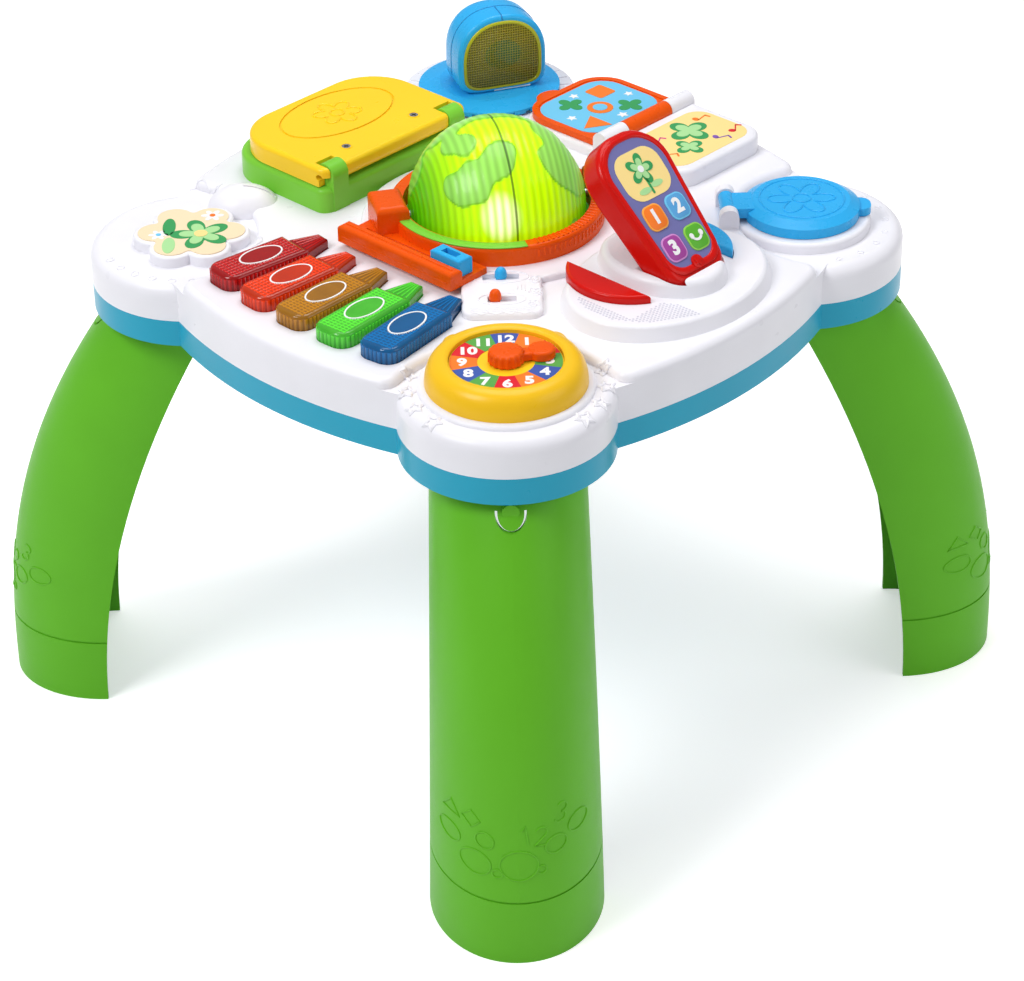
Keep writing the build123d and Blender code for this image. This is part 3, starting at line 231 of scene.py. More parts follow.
def tinted(name, deep, bright, foot, top, clear=0.35, glow=0.12):
    """Tinted clear plastic with a faint painted glow in its own colour, brightest near its top where the
    painted light gathers.
    """
    material, tree, shader = new_material(name)
    values = {"Deep": (*deep, 1), "Bright": (*bright, 1), "Foot": foot, "Top": top}
    tint = add(tree, "ShaderNodeGroup", values, node_tree=tinted_clear).outputs
    wire(tree, shader, {
        "Base Color": tint["Colour"], "Emission Color": tint["Colour"], "Emission Strength": glow,
        "Transmission Weight": clear, "Roughness": 0.14, "Specular IOR Level": 0.3, "Coat Weight": 0.12,
        "Coat Roughness": 0.08, "Normal": bumped(tree, tint["Height"], 0.10, 0.0006)})
    return material


def metal(name, rgb, rough):
    material, tree, shader = new_material(name)
    face = add(tree, "ShaderNodeGroup", {"Colour": (*rgb, 1), "Gloss": rough}, node_tree=moulded_skin).outputs
    wire(tree, shader, {
        "Base Color": face["Colour"], "Roughness": face["Roughness"], "Metallic": 1.0,
        "Normal": bumped(tree, face["Height"], 0.15, 0.0002)})
    return material


def share_squared(tree, value, middle, half):
    """Square of a distance from a middle, as a share of a half width."""
    share = math(tree, "DIVIDE", math(tree, "SUBTRACT", value, middle), half)
    return math(tree, "MULTIPLY", share, share)


def globe_material():
    """Lime shell with painted light and shade: a glow, a band brighter by the seam, a painted white hot spot
    beside it, and painted shade in the rib troughs and along the seam; land and ribs come from the mesh's
    attributes.
    """
    material, tree, shader = new_material("globe_lime_lit")
    links = {0: object_place(tree), 1: globe_middle}
    arm = add(tree, "ShaderNodeVectorMath", links, operation="SUBTRACT").outputs[0]
    links = {0: arm, 1: globe_axis}
    along = add(tree, "ShaderNodeVectorMath", links, operation="DOT_PRODUCT").outputs["Value"]
    height = add(tree, "ShaderNodeSeparateXYZ", {0: arm}).outputs[2]
    land = add(tree, "ShaderNodeAttribute", attribute_name="land").outputs["Fac"]
    ring = add(tree, "ShaderNodeAttribute", attribute_name="ring").outputs["Fac"]
    from_seam = math(tree, "ABSOLUTE", along)
    # Painted light: brighter within a band by the seam, darker towards the poles.
    lit = ramp(tree, from_seam, 0.020, 0.056, 1.0, 0.0, "SMOOTHSTEP")
    # Painted highlight: a white hot spot beside the seam, broken into streaks by the ribs.
    spread = share_squared(tree, along, -0.009, 0.014)
    spread = math(tree, "ADD", spread, share_squared(tree, height, 0.017, 0.016))
    core = ramp(tree, spread, 0.05, 1.0, 1.0, 0.0, "SMOOTHSTEP")
    core = math(tree, "MULTIPLY", core, ramp(tree, ring, start=0.4))
    # Painted shade along the seam groove.
    seam_painted_shade = ramp(tree, from_seam, 0.0004, 0.0010, 0.30, 1.0)
    sea = blend_colours(tree, lit, (0.045, 0.33, 0.001, 1), (0.50, 0.90, 0.001, 1))
    sea = blend_colours(tree, core, sea, (1.0, 1.0, 0.62, 1))
    ground = blend_colours(tree, lit, (0.14, 0.40, 0.040, 1), (0.25, 0.58, 0.085, 1))
    coast = math(tree, "MULTIPLY", land, math(tree, "SUBTRACT", 1.0, land))
    colour = blend_colours(tree, land, sea, ground)
    colour = blend_colours(tree, math(tree, "MULTIPLY", coast, 2.4), colour, (0.07, 0.33, 0.010, 1))
    # Painted shade in the troughs of the ribs and in the seam.
    colour = shaded(tree, colour, math(tree, "MULTIPLY", ramp(tree, ring, start=0.74), seam_painted_shade))
    wire(tree, shader, {
        "Base Color": colour, "Emission Color": colour, "Emission Strength": 0.62, "Roughness": 0.30,
        "Specular IOR Level": 0.25, "Coat Weight": 0.12, "Coat Roughness": 0.10})
    return material


white = plastic("white_moulding", (0.84, 0.835, 0.885), gloss=0.30, soft=0.05)
# A darker grey copy of the white moulding: painted shade in the speaker grille's holes.
white_painted_shade = plastic("white_moulding_shadow_line", (0.62, 0.62, 0.70), gloss=0.4)
teal = plastic("teal_moulding", (0.012, 0.35, 0.52), gloss=0.30)
leg_green = plastic("leg_green_moulding", (0.125, 0.475, 0.018), gloss=0.42, grain=0.25, coat=0.02,
                    shine=0.16)
laptop_green = plastic("laptop_green_moulding", (0.20, 0.60, 0.045), gloss=0.30)
yellow = plastic("yellow_moulding", (0.95, 0.62, 0.016), gloss=0.30)
# A darker copy of the yellow moulding for the clock's bezel: painted shade for its domed shading.
clock_yellow_painted_shade = plastic("clock_yellow_moulding_painted_shade", (0.88, 0.52, 0.012), gloss=0.30)
blue = plastic("blue_moulding", (0.026, 0.41, 0.82), gloss=0.28)
# A darker copy of the blue moulding: painted shade in the lamp's seams.
blue_painted_shade = plastic("blue_moulding_shadow_line", (0.012, 0.20, 0.50), gloss=0.4)
orange = plastic("orange_moulding", (0.82, 0.092, 0.002), gloss=0.28, coat=0.02, shine=0.15)
red = plastic("red_moulding", (0.62, 0.006, 0.003), gloss=0.22, coat=0.06, shine=0.16)
panel_purple = plastic("handset_panel_purple", (0.17, 0.17, 0.40), gloss=0.22)
board_green = plastic("board_green", (0.02, 0.2, 0.07), gloss=0.35)
rubber = plastic("grey_rubber", (0.22, 0.22, 0.24), gloss=0.6)
# Dark plastic for the inner parts, also used as painted shade in the laptop lid's screw slots.
dark_and_slot_shade = plastic("dark_inner_plastic_and_slot_shade", (0.03, 0.03, 0.035), gloss=0.5)
steel = metal("plain_steel", (0.62, 0.62, 0.64), 0.28)
ink_colours = {
    "white": (0.88, 0.88, 0.88), "orange": (0.90, 0.20, 0.02), "red": (0.70, 0.015, 0.03),
    "green": (0.10, 0.42, 0.03), "cream": (0.88, 0.72, 0.48), "sky": (0.16, 0.55, 0.82),
    "leaf": (0.04, 0.33, 0.10), "mint": (0.40, 0.72, 0.32), "pink": (0.72, 0.04, 0.30),
    "straw": (0.95, 0.72, 0.28), "purple": (0.22, 0.10, 0.45), "apricot": (0.95, 0.40, 0.06),
    "azure": (0.10, 0.36, 0.68), "plum": (0.36, 0.06, 0.32), "lilac": (0.62, 0.26, 0.60),
    "lime": (0.28, 0.62, 0.08), "navy": (0.045, 0.10, 0.40), "fern": (0.10, 0.38, 0.07)}
ink = {name: plastic("ink_" + name, rgb, gloss=0.35, grain=0.05, coat=0.03, mottle=0.03)
       for name, rgb in ink_colours.items()}
crayon_colours = {
    "red": ((0.14, 0.002, 0.002), (0.50, 0.006, 0.006)),
    "orange": ((0.32, 0.009, 0.001), (0.72, 0.048, 0.003)),
    "yellow": ((0.16, 0.060, 0.002), (0.48, 0.21, 0.012)),
    "green": ((0.015, 0.25, 0.012), (0.11, 0.66, 0.045)),
    "blue": ((0.001, 0.030, 0.10), (0.006, 0.16, 0.42))}
# Ribs and walls of the keys take a lighter copy of each key's tint: a painted highlight where they catch the
# light.
rib_highlight_gain = 1.35
crayon_tints, painted_highlight_rib_tints = {}, {}
for colour, (deep, bright) in crayon_colours.items():
    highlight_tints = [tuple(min(1.0, rib_highlight_gain * value) for value in rgb) for rgb in (deep, bright)]
    crayon_tints["crayon_" + colour] = tinted("tinted_" + colour, deep, bright, key_foot, key_foot + 0.020)
    painted_highlight_rib_tints["crayon_" + colour] = tinted("tinted_painted_highlight_rib_" + colour, *highlight_tints, key_foot, key_foot + 0.012)
lens_low, lens_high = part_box("lamp_lens")
lens_colours = {
    "amber": ((0.07, 0.075, 0.005), (0.15, 0.145, 0.010)),
    "rim": ((0.24, 0.25, 0.006), (0.46, 0.46, 0.015)),
    "line": ((0.17, 0.145, 0.010), (0.36, 0.31, 0.026)),
    "core": ((0.020, 0.060, 0.008), (0.045, 0.115, 0.018))}
lens_tints = {part: tinted("tinted_lens_" + part, *rgb, lens_low.z, lens_high.z, clear=0.1, glow=0.15)
              for part, rgb in lens_colours.items()}
globe_lime = globe_material()
dressing = [
    (white, "top_shell laptop_keyboard"), (teal, "bottom_shell battery_cover"), (laptop_green, "laptop_base"),
    (leg_green, "leg_front_right leg_front_left leg_rear_right leg_rear_left"),
    (blue, "slider_block volume_switch dish_lid lamp_base lamp_head phone_button_blue"),
    (orange, "globe_stand language_switch clock_hand book_page"),
    (yellow, "clock_bezel clock_dial laptop_lid"),
    (red, "handset_back handset_front phone_button_red"), (panel_purple, "laptop_screen handset_panel"),
    (steel, "globe_axle clock_pin dish_lid_pin laptop_pin book_pin battery_cells case_screws"),
    (dark_and_slot_shade, "speaker battery_box"), (board_green, "circuit_board"), (rubber, "dome_mat"),
    (lens_tints["amber"], "lamp_lens"), (ink["white"], "lamp_bulb"), (ink["cream"], "picture_print")]
dressing += [(material, node) for node, material in crayon_tints.items()]
for material, names in dressing:
    for name in names.split():
        nodes[name].data.materials.clear()
        nodes[name].data.materials.append(material)


# Geometry node trees

def new_geometry_tree(name, inputs):
    tree = bpy.data.node_groups.new(name, "GeometryNodeTree")
    for socket, kind in inputs + [("Material", "NodeSocketMaterial")]:
        tree.interface.new_socket(name=socket, in_out="INPUT", socket_type=kind)
    tree.interface.new_socket(name="Geometry", in_out="OUTPUT", socket_type=GEOMETRY)
    return tree, tree.nodes.new("NodeGroupInput").outputs


def pegs_on_points(tree, given, points, height):
    """Puts a short round peg on every point and finishes with one plain mesh in the given material."""
    links = {"Vertices": 8, "Radius": given["Radius"], "Depth": given[height]}
    peg = add(tree, "GeometryNodeMeshCylinder", links)
    placed = add(tree, "GeometryNodeInstanceOnPoints", {"Points": points, "Instance": peg.outputs[0]})
    whole = add(tree, "GeometryNodeRealizeInstances", {0: placed.outputs[0]})
    dressed = add(tree, "GeometryNodeSetMaterial", {0: whole.outputs[0], "Material": given["Material"]})
    add(tree, "NodeGroupOutput", {0: dressed.outputs[0]})
    return tree


def upright_ribs_tree():
    """Upright round ribs set at even steps along a path of mesh edges."""
    tree, given = new_geometry_tree("upright_ribs", [
        ("Path", GEOMETRY), ("Count", "NodeSocketInt"), ("Radius", VALUE), ("Height", VALUE)])
    curve = add(tree, "GeometryNodeMeshToCurve", {0: given["Path"]})
    steps = add(tree, "GeometryNodeResampleCurve", {"Curve": curve.outputs[0], "Count": given["Count"]})
    return pegs_on_points(tree, given, steps.outputs[0], "Height")


def perforation_tree():
    """Small round marks, one on each point of a mesh."""
    tree, given = new_geometry_tree("perforations", [
        ("Points", GEOMETRY), ("Radius", VALUE), ("Depth", VALUE)])
    return pegs_on_points(tree, given, given["Points"], "Depth")


def evaluated(name, data, prepare=None):
    """Plain mesh of an object as Blender evaluates it; the object itself goes."""
    holder = bpy.data.objects.new(name, data)
    scene.collection.objects.link(holder)
    if prepare:
        prepare(holder)
    depsgraph = bpy.context.evaluated_depsgraph_get()
    mesh = bpy.data.meshes.new_from_object(holder.evaluated_get(depsgraph), depsgraph=depsgraph)
    bpy.data.objects.remove(holder)
    return mesh


def grow(tree, points, edges, material, **inputs):
    """Plain mesh that a geometry tree makes from points and edges."""
    mesh = bpy.data.meshes.new("path")
    mesh.from_pydata(points, edges, [])

    def fit_tree(holder):
        modifier = holder.modifiers.new("grow", "NODES")
        modifier.node_group = tree
        names = {item.name: item.identifier for item in tree.interface.items_tree if item.in_out == "INPUT"}
        for key, value in {**inputs, "Material": material}.items():
            modifier[names[key]] = value

    return evaluated("grown", mesh, fit_tree)


upright_ribs = upright_ribs_tree()
perforations = perforation_tree()


# Mesh makers

def piece(name, mesh, body, sharp=35):
    """Finished piece: shading and body."""
    mesh.shade_smooth()
    mesh.set_sharp_from_angle(angle=radians(sharp))
    made = bpy.data.objects.new(name, mesh)
    scene.collection.objects.link(made)
    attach(made, body)
    return made


def mesh_of(form, *materials):
    mesh = bpy.data.meshes.new("form")
    form.to_mesh(mesh)
    form.free()
    for material in materials:
        mesh.materials.append(material)
    return mesh


def shaped(form, material, place=None):
    """Mesh of a form with its faces outward, moved to its place."""
    bmesh.ops.recalc_face_normals(form, faces=form.faces)
    if place is not None:
        form.transform(place)
    return mesh_of(form, material)


def joined(meshes):
    """One mesh of several, each with its own material kept."""
    form = bmesh.new()
    materials = []
    for mesh in meshes:
        first = len(form.faces)
        form.from_mesh(mesh)
        form.faces.ensure_lookup_table()
        for face in form.faces[first:]:
            material = mesh.materials[face.material_index]
            if material not in materials:
                materials.append(material)
            face.material_index = materials.index(material)
    return mesh_of(form, *materials)


def bridge(form, rows, loop=False):
    """Faces between neighbouring rows of points; loop joins the last row to the first."""
    count = len(rows[0])
    for a, b in zip(rows, rows[1:] + (rows[:1] if loop else [])):
        for k in range(count):
            form.faces.new((a[k], a[(k + 1) % count], b[(k + 1) % count], b[k]))


def fan(form, row, middle):
    tip = form.verts.new(middle)
    for k in range(len(row)):
        form.faces.new((row[k], row[(k + 1) % len(row)], tip))


def skin(rings, material, place=None, loop=False):
    """Surface through rings of points, closed at both ends, or joined end to end in a loop."""
    form = bmesh.new()
    rows = [[form.verts.new(point) for point in ring] for ring in rings]
    bridge(form, rows, loop)
    if not loop:
        for row in (rows[0], rows[-1]):
            fan(form, row, sum((vert.co for vert in row), Vector()) / len(row))
    return shaped(form, material, place)


def turned_shape(profile, place, material, spokes=96):
    """Surface of a profile turned about its place's Z axis; a profile that ends on the axis closes there."""
    form = bmesh.new()
    rows = []
    for reach, height in profile:
        if reach > 0:
            rows.append([form.verts.new((*around(reach, 360 * k / spokes), height)) for k in range(spokes)])
    bridge(form, rows)
    if profile[-1][0] == 0:
        fan(form, rows[-1], (0, 0, profile[-1][1]))
    return shaped(form, material, place)


def tile(outline, thick, place, material, round_off=0.0):
    """Flat plate of an outline with an eased top edge; it sits on its place's XY plane."""
    form = bmesh.new()
    face = form.faces.new([form.verts.new((x, y, 0)) for x, y in outline])
    face.normal_update()
    if face.normal.z < 0:
        face.normal_flip()
    top = bmesh.ops.extrude_face_region(form, geom=[face])["geom"]
    raised = [item for item in top if isinstance(item, bmesh.types.BMVert)]
    bmesh.ops.translate(form, verts=raised, vec=(0, 0, thick))
    if round_off:
        lid = next(item for item in top if isinstance(item, bmesh.types.BMFace))
        bmesh.ops.bevel(form, geom=list(lid.edges), offset=round_off, segments=2, affect="EDGES", profile=0.5)
    return shaped(form, material, place)


def bar(start, end, radius, material, sides=8):
    """Straight round bar between two points."""
    form = bmesh.new()
    start, end = Vector(start), Vector(end)
    span = end - start
    bmesh.ops.create_cone(form, cap_ends=True, segments=sides, radius1=radius, radius2=radius,
                          depth=span.length)
    form.transform(Matrix.Translation((start + end) / 2) @ span.to_track_quat("Z", "Y").to_matrix().to_4x4())
    return mesh_of(form, material)


def figure(words, size, thick, place, weight):
    """Plain white numeral as a mesh, centred on its place."""
    curve = bpy.data.curves.new("numeral", "FONT")
    curve.body = words
    curve.size = size
    curve.extrude = thick / 2
    curve.offset = weight
    curve.resolution_u = 4
    curve.align_x = "CENTER"
    curve.align_y = "CENTER"
    mesh = evaluated("numeral", curve)
    mesh.transform(place)
    mesh.materials.clear()
    mesh.materials.append(ink["white"])
    return mesh


surfaces = {}


def land_on(node, start, direction):
    """Point and normal where a straight line meets a CAD node."""
    if node not in surfaces:
        mesh = nodes[node].data
        corners = [vert.co for vert in mesh.vertices]
        surfaces[node] = BVHTree.FromPolygons(corners, [face.vertices for face in mesh.polygons])
    point, normal, _, _ = surfaces[node].ray_cast(Vector(start), direction)
    return point, normal


def ridge(path, radius, place=table_sky, node="top_shell", material=white, closed=True, aim=down, sides=6):
    """Half-sunk round ridge along a flat path that is laid on a CAD node's surface."""
    spots = []
    for x, y in path:
        point, normal = land_on(node, place @ Vector((x, y, 0)), aim)
        if point is not None:
            spots.append((point, normal if normal.dot(aim) < 0 else -normal))
    form = bmesh.new()
    rings = []
    for i, (point, normal) in enumerate(spots):
        ahead = spots[(i + 1) % len(spots) if closed else min(i + 1, len(spots) - 1)][0]
        behind = spots[i - 1 if closed or i else 0][0]
        across = (ahead - behind).normalized().cross(normal).normalized()
        turns = [2 * pi * k / sides for k in range(sides)]
        rings.append([form.verts.new(point + radius * (cos(a) * normal + sin(a) * across)) for a in turns])
    bridge(form, rings, closed)
    if not closed:
        form.faces.new(rings[0])
        form.faces.new(rings[-1])
    return shaped(form, material)


# Outlines

def oval(half_x, half_y, count=40, middle=(0, 0)):
    return [(middle[0] + half_x * cos(2 * pi * i / count), middle[1] + half_y * sin(2 * pi * i / count))
            for i in range(count)]


def disc(radius, count=40, middle=(0, 0)):
    return oval(radius, radius, count, middle)


def arc(middle, reach, start, end, steps=10):
    return [around(reach, start + (end - start) * i / steps, middle) for i in range(steps + 1)]


def rounded_box(width, height, corner, steps=6, middle=(0, 0)):
    points = []
    for quarter, (sx, sy) in enumerate(((1, 1), (-1, 1), (-1, -1), (1, -1))):
        x, y = middle[0] + sx * (width / 2 - corner), middle[1] + sy * (height / 2 - corner)
        points += arc((x, y), corner, 90 * quarter, 90 * quarter + 90, steps)
    return points


def star(outer, inner, tips=5, turn=90, middle=(0, 0)):
    return [around(inner if i % 2 else outer, turn + 180 * i / tips, middle) for i in range(2 * tips)]


def petals(reach, radius, count, middle=(0, 0), steps=72):
    """Outline of a simple round-petalled flower."""
    points = []
    for i in range(steps):
        span = reach + radius * abs(cos(count * pi * i / steps))
        points.append(around(span, 360 * i / steps, middle))
    return points


def stepped(corners, steps):
    """Closed outline with each of its sides cut into equal steps."""
    path = []
    for i, (x, y) in enumerate(corners):
        nx, ny = corners[(i + 1) % len(corners)]
        path += [(x + (nx - x) * s / steps, y + (ny - y) * s / steps) for s in range(steps)]
    return path


def oval_ring(half_x, half_y, line, thick, place, material, count=56):
    """Thin flat oval line."""
    rings = []
    for inset, height in ((0, 0), (0, thick), (2 * line, thick), (2 * line, 0)):
        rings.append([(x, y, height) for x, y in oval(half_x - inset, half_y - inset, count)])
    return skin(rings, material, place, loop=True)


print_rise = 0.00025


def prints(place, rows):
    """Printed shapes on one place: each row is an outline, the layer that its top lies on, and its ink."""
    return [tile(outline, layer * print_rise, place, ink[colour]) for outline, layer, colour in rows]


def two_toned(count, middle, layer, outer, inner):
    """Rows for a leaf-green flower with a smaller mint one on it; each is a reach and a petal radius."""
    return [(petals(*outer, count, middle), layer, "leaf"),
            (petals(*inner, count, middle), layer + 1, "mint")]


# Crayon keys: ribbed walls and tip, and a white ring on top

crayon_half_width, crayon_barrel, crayon_reach, crayon_end_round = 0.013, 0.058, 0.079, 0.009
crayon_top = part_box("crayon_red")[1].z
crayon_step, crayon_side, crayon_away, crayon_bow, crayon_fan = 0.033, -0.001, 0.172, 0.006, 3.6
wall_rib_radius, wall_rib_proud, wall_rib_count = 0.0014, 0.00055, 46
wall_foot, wall_head = key_foot - 0.0005, crayon_top - 0.0022
label_half_x, label_half_y, label_along, label_line = 0.0086, 0.0150, 0.0325, 0.0005
label_rise, label_ring_rise = 0.0006, 0.0008
top_sink, tip_sink, cross_half, rib_line, long_rib_line = 0.0003, 0.0031, 0.0100, 0.0007, 0.0006
crayon_ribs = []
for i in range(21):
    rib_along = 0.005 + 0.0025 * i
    crayon_ribs.append(((-cross_half, rib_along), (cross_half, rib_along), top_sink, rib_line))
for i in range(-3, 4):
    crayon_ribs.append(((0.0030 * i, 0.004), (0.0030 * i, crayon_barrel - 0.003), top_sink, long_rib_line))
for i in range(-2, 3):
    ends = (0.0034 * i, crayon_barrel + 0.003), (0.0014 * i, crayon_reach - 0.002)
    crayon_ribs.append((*ends, tip_sink, rib_line))


def crayon_frame(index):
    """Frame of a key at its rounded outer end, with Y running to the tip."""
    step = index - 2
    bow = crayon_bow * (1 - (step / 2) ** 2)
    return moved(step * crayon_step + crayon_side, -(crayon_away + bow), 0) @ turned(step * crayon_fan)


def crayon_wall_path(height):
    """Row of points round the barrel's walls, drawn in so that the ribs stand a little proud."""
    inset = wall_rib_radius - wall_rib_proud
    half = crayon_half_width - inset
    corner = crayon_end_round - inset
    row = [(-half, crayon_barrel - 0.001)]
    for side, start in ((-1, 180), (1, 270)):
        row += arc((side * (half - corner), corner + inset), corner, start, start + 90, 6)
    row.append((half, crayon_barrel - 0.001))
    return [(x, y, height) for x, y in row]


def dress_crayon(index, colour):
    node, body = "crayon_" + colour, colour + "_key"
    # The ribs and walls wear the lighter rib tint: painted highlight.
    material = painted_highlight_rib_tints[node]
    place = crayon_frame(index)
    path = crayon_wall_path((wall_foot + wall_head) / 2)
    edges = [(i, i + 1) for i in range(len(path) - 1)]
    walls = grow(upright_ribs, path, edges, material, Count=wall_rib_count, Radius=wall_rib_radius,
                 Height=wall_head - wall_foot)
    walls.transform(place)
    parts = [walls]
    for start, end, sink, radius in crayon_ribs:
        ends = [place @ Vector((*spot, crayon_top - sink)) for spot in (start, end)]
        parts.append(bar(*ends, radius, material, 6))
    label = place @ moved(0, label_along, crayon_top)
    parts.append(tile(oval(label_half_x, label_half_y), label_rise, label, crayon_tints[node]))
    piece(f"{node}_ribs", joined(parts), body)
    ring = oval_ring(label_half_x, label_half_y, label_line, label_ring_rise, label, ink["white"])
    piece(f"{node}_ring", ring, body)


for order, colour_name in enumerate(crayon_colours):
    dress_crayon(order, colour_name)


# Globe: ribbed lime shell with raised land, in place of the two plain halves

globe_low, globe_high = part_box("globe_half_left")
globe_radius = (globe_high.z - globe_low.z) / 2
sea_depth, ring_depth, ring_count = 0.0006, 0.00035, 34
seam_drop, seam_half_angle = 0.0006, 0.014
shore_level, shore_width = 0.52, 0.05
# Land as round patches: longitude and polar angle in degrees, width and weight
land_patches = [
    (20, 50, 0.50, 1.0), (34, 66, 0.34, 0.9), (58, 38, 0.30, 0.8), (10, 92, 0.26, 0.7),
    (100, 30, 0.44, 1.0), (122, 52, 0.30, 0.9), (150, 24, 0.36, 0.9), (165, 60, 0.28, 0.8),
    (205, 40, 0.48, 1.0), (230, 66, 0.34, 0.9), (262, 28, 0.32, 0.8), (290, 55, 0.46, 1.0),
    (318, 32, 0.32, 0.9), (75, 100, 0.36, 0.9), (140, 112, 0.42, 0.9), (215, 105, 0.38, 0.9),
    (300, 112, 0.42, 0.9), (350, 128, 0.36, 0.9)]


def land_share(direction):
    """How much a direction from the globe's middle lies on land, from 0 to 1."""
    total = 0.0
    for longitude, polar, width, weight in land_patches:
        patch = Vector((*around(sin(radians(polar)), longitude), cos(radians(polar))))
        total += weight * exp(-((direction - patch).length / width) ** 2 * 2.2)
    ripple = 0.09 * sin(9 * direction.x + 5 * direction.z) + 0.08 * sin(13 * direction.y - 9 * direction.x)
    ripple += 0.05 * sin(23 * direction.z + 17 * direction.x)
    return min(1.0, max(0.0, (total + ripple - shore_level) / shore_width))


def globe_shell(stations=221, spokes=200):
    across = globe_axis.cross(Vector((0, 0, 1))).normalized()
    up = across.cross(globe_axis).normalized()
    form = bmesh.new()
    land_layer = form.verts.layers.float.new("land")
    ring_shade_layer = form.verts.layers.float.new("ring")
    rows = []
    for i in range(1, stations):
        polar = pi * i / stations
        wave = 0.5 + 0.5 * cos(2 * ring_count * polar)
        in_seam = abs(polar - pi / 2) < seam_half_angle
        row = []
        for k in range(spokes):
            turn = 2 * pi * k / spokes
            direction = cos(polar) * globe_axis + sin(polar) * (cos(turn) * up + sin(turn) * across)
            land = land_share(direction)
            reach = globe_radius - (1 - land) * sea_depth - ring_depth * (1 - wave) * (1 - 0.6 * land)
            vert = form.verts.new(globe_middle + (reach - seam_drop * in_seam) * direction)
            vert[land_layer] = land
            # The ring attribute carries the rib wave that paints shade in the troughs, lowered in the seam to
            # paint it darker.
            vert[ring_shade_layer] = wave * (0.25 if in_seam else 1.0)
            row.append(vert)
        rows.append(row)
    bridge(form, rows)
    form.faces.new(rows[0])
    form.faces.new(rows[-1])
    return shaped(form, globe_lime)


shell = piece("globe_shell", globe_shell(), "globe", sharp=60)
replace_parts(shell, "globe_half_left", "globe_half_right")


# Clock face: twelve printed fields with white numerals that read from outside the table

dial_outer, dial_inner = 0.0322, 0.0165
numeral_reach, numeral_size, numeral_weight = 0.0250, 0.0112, 0.0005
hour_colours = ["navy", "orange", "red", "fern"]
dial_place = clock_frame @ moved(0, 0, clock_top)


def hour_field(hour):
    start = 180 - 30 * (hour - 0.5)
    outline = arc((0, 0), dial_outer, start, start - 30, 8) + arc((0, 0), dial_inner, start - 30, start, 8)
    return outline, 1, hour_colours[hour % 4]


def hour_numeral(hour):
    spot = dial_place @ Vector((*around(numeral_reach, 180 - 30 * hour), print_rise))
    return figure(str(hour), numeral_size, 0.0002, Matrix.Translation(spot) @ turned(45), numeral_weight)


hours = range(1, 13)
piece("clock_fields", joined(prints(dial_place, [hour_field(hour) for hour in hours])), "table")
piece("clock_numerals", joined([hour_numeral(hour) for hour in hours]), "table")


# Clock bezel as one smooth dome with two ears, in place of the plain ring, and the white collar under it

bezel_low, bezel_top = [corner.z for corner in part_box("clock_bezel")]
bezel_foot_reach, bezel_inner_reach, bezel_lip, bezel_power = 0.0470, 0.0330, 0.0015, 2.6
bezel_wall, bezel_lip_drop, bezel_floor = bezel_foot_reach - 0.004, 0.0012, clock_top - 0.0015
ear_reach, ear_radius, ear_degrees, ear_top, ear_power = 0.039, 0.0095, 46, bezel_top - 0.0020, 3.2
collar_inner, collar_outer, collar_low, collar_top = 0.0466, 0.0512, bezel_low - 0.0004, bezel_low + 0.0030


def dome_profile(inner, outer, low, high, power, steps=18):
    """Row of (reach, height) points from the foot of a dome over its shoulder to its inner edge."""
    row = []
    for i in range(steps + 1):
        lean = pi / 2 * i / steps
        reach = inner + (outer - inner) * cos(lean) ** (2 / power)
        row.append((reach, low + (high - low) * sin(lean) ** (2 / power)))
    return row


def closed_dome(radius, low, high, power):
    """Profile of a dome that ends on its axis."""
    return dome_profile(0, radius, low, high, power)[:-1] + [(0, high)]


bezel_row = dome_profile(bezel_inner_reach + bezel_lip, bezel_foot_reach, bezel_low, bezel_top, bezel_power)
bezel_row += [(bezel_inner_reach, bezel_top - bezel_lip_drop), (bezel_inner_reach, bezel_floor),
              (bezel_wall, bezel_floor), (bezel_wall, bezel_low), bezel_row[0]]
bezel_parts = [turned_shape(bezel_row, clock_frame, clock_yellow_painted_shade)]
for side in (-1, 1):
    ear_place = clock_frame @ turned(180 + side * ear_degrees) @ moved(ear_reach, 0, 0)
    ear_row = closed_dome(ear_radius, bezel_low, ear_top, ear_power)
    bezel_parts.append(turned_shape(ear_row, ear_place, clock_yellow_painted_shade, 40))
dome = piece("clock_bezel_dome", joined(bezel_parts), "table", sharp=50)
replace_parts(dome, "clock_bezel")
collar_row = dome_profile(collar_inner, collar_outer, collar_low, collar_top, 2.4, 8)
collar_row += [(collar_inner, collar_low), collar_row[0]]
piece("clock_collar", turned_shape(collar_row, clock_frame, white), "table")


# Clock hand: low scalloped knob with a soft crown and a round-ended pointer, in place of the plain hand

hand_hour, hand_lift = 2.5, 0.0008
hand_place = clock_frame @ turned(180 - 30 * hand_hour) @ moved(0, 0, clock_top + hand_lift)
knob_reach, knob_rise, knob_edge, scallop_count, scallop_depth = 0.0105, 0.0072, 0.0024, 16, 0.0008
pointer_reach, pointer_end, pointer_rise, pointer_edge = 0.021, 0.0080, 0.0052, 0.0016
neck_length, neck_width, neck_corner, neck_middle = 0.014, 0.0084, 0.0010, 0.0115
neck_drop, neck_edge = 0.0006, 0.0012


def knob_ring(inset, height, depth, count=128):
    ring = []
    for k in range(count):
        dip = depth * (0.5 + 0.5 * cos(scallop_count * 2 * pi * k / count))
        ring.append((*around(knob_reach - inset - dip, 360 * k / count), height))
    return ring


def crowned(outline, rise, edge):
    """Plate of an outline about its middle on the clock hand, with a rounded top edge."""
    reach = max(abs(y) for x, y in outline)
    middle = sum(x for x, y in outline) / len(outline)
    rings = [[(x, y, 0) for x, y in outline]]
    for i in range(5):
        lean = pi / 2 * i / 4
        shrink = 1 - edge * (1 - cos(lean)) / reach
        height = rise - edge + edge * sin(lean)
        rings.append([(middle + (x - middle) * shrink, y * shrink, height) for x, y in outline])
    return skin(rings, orange, hand_place)


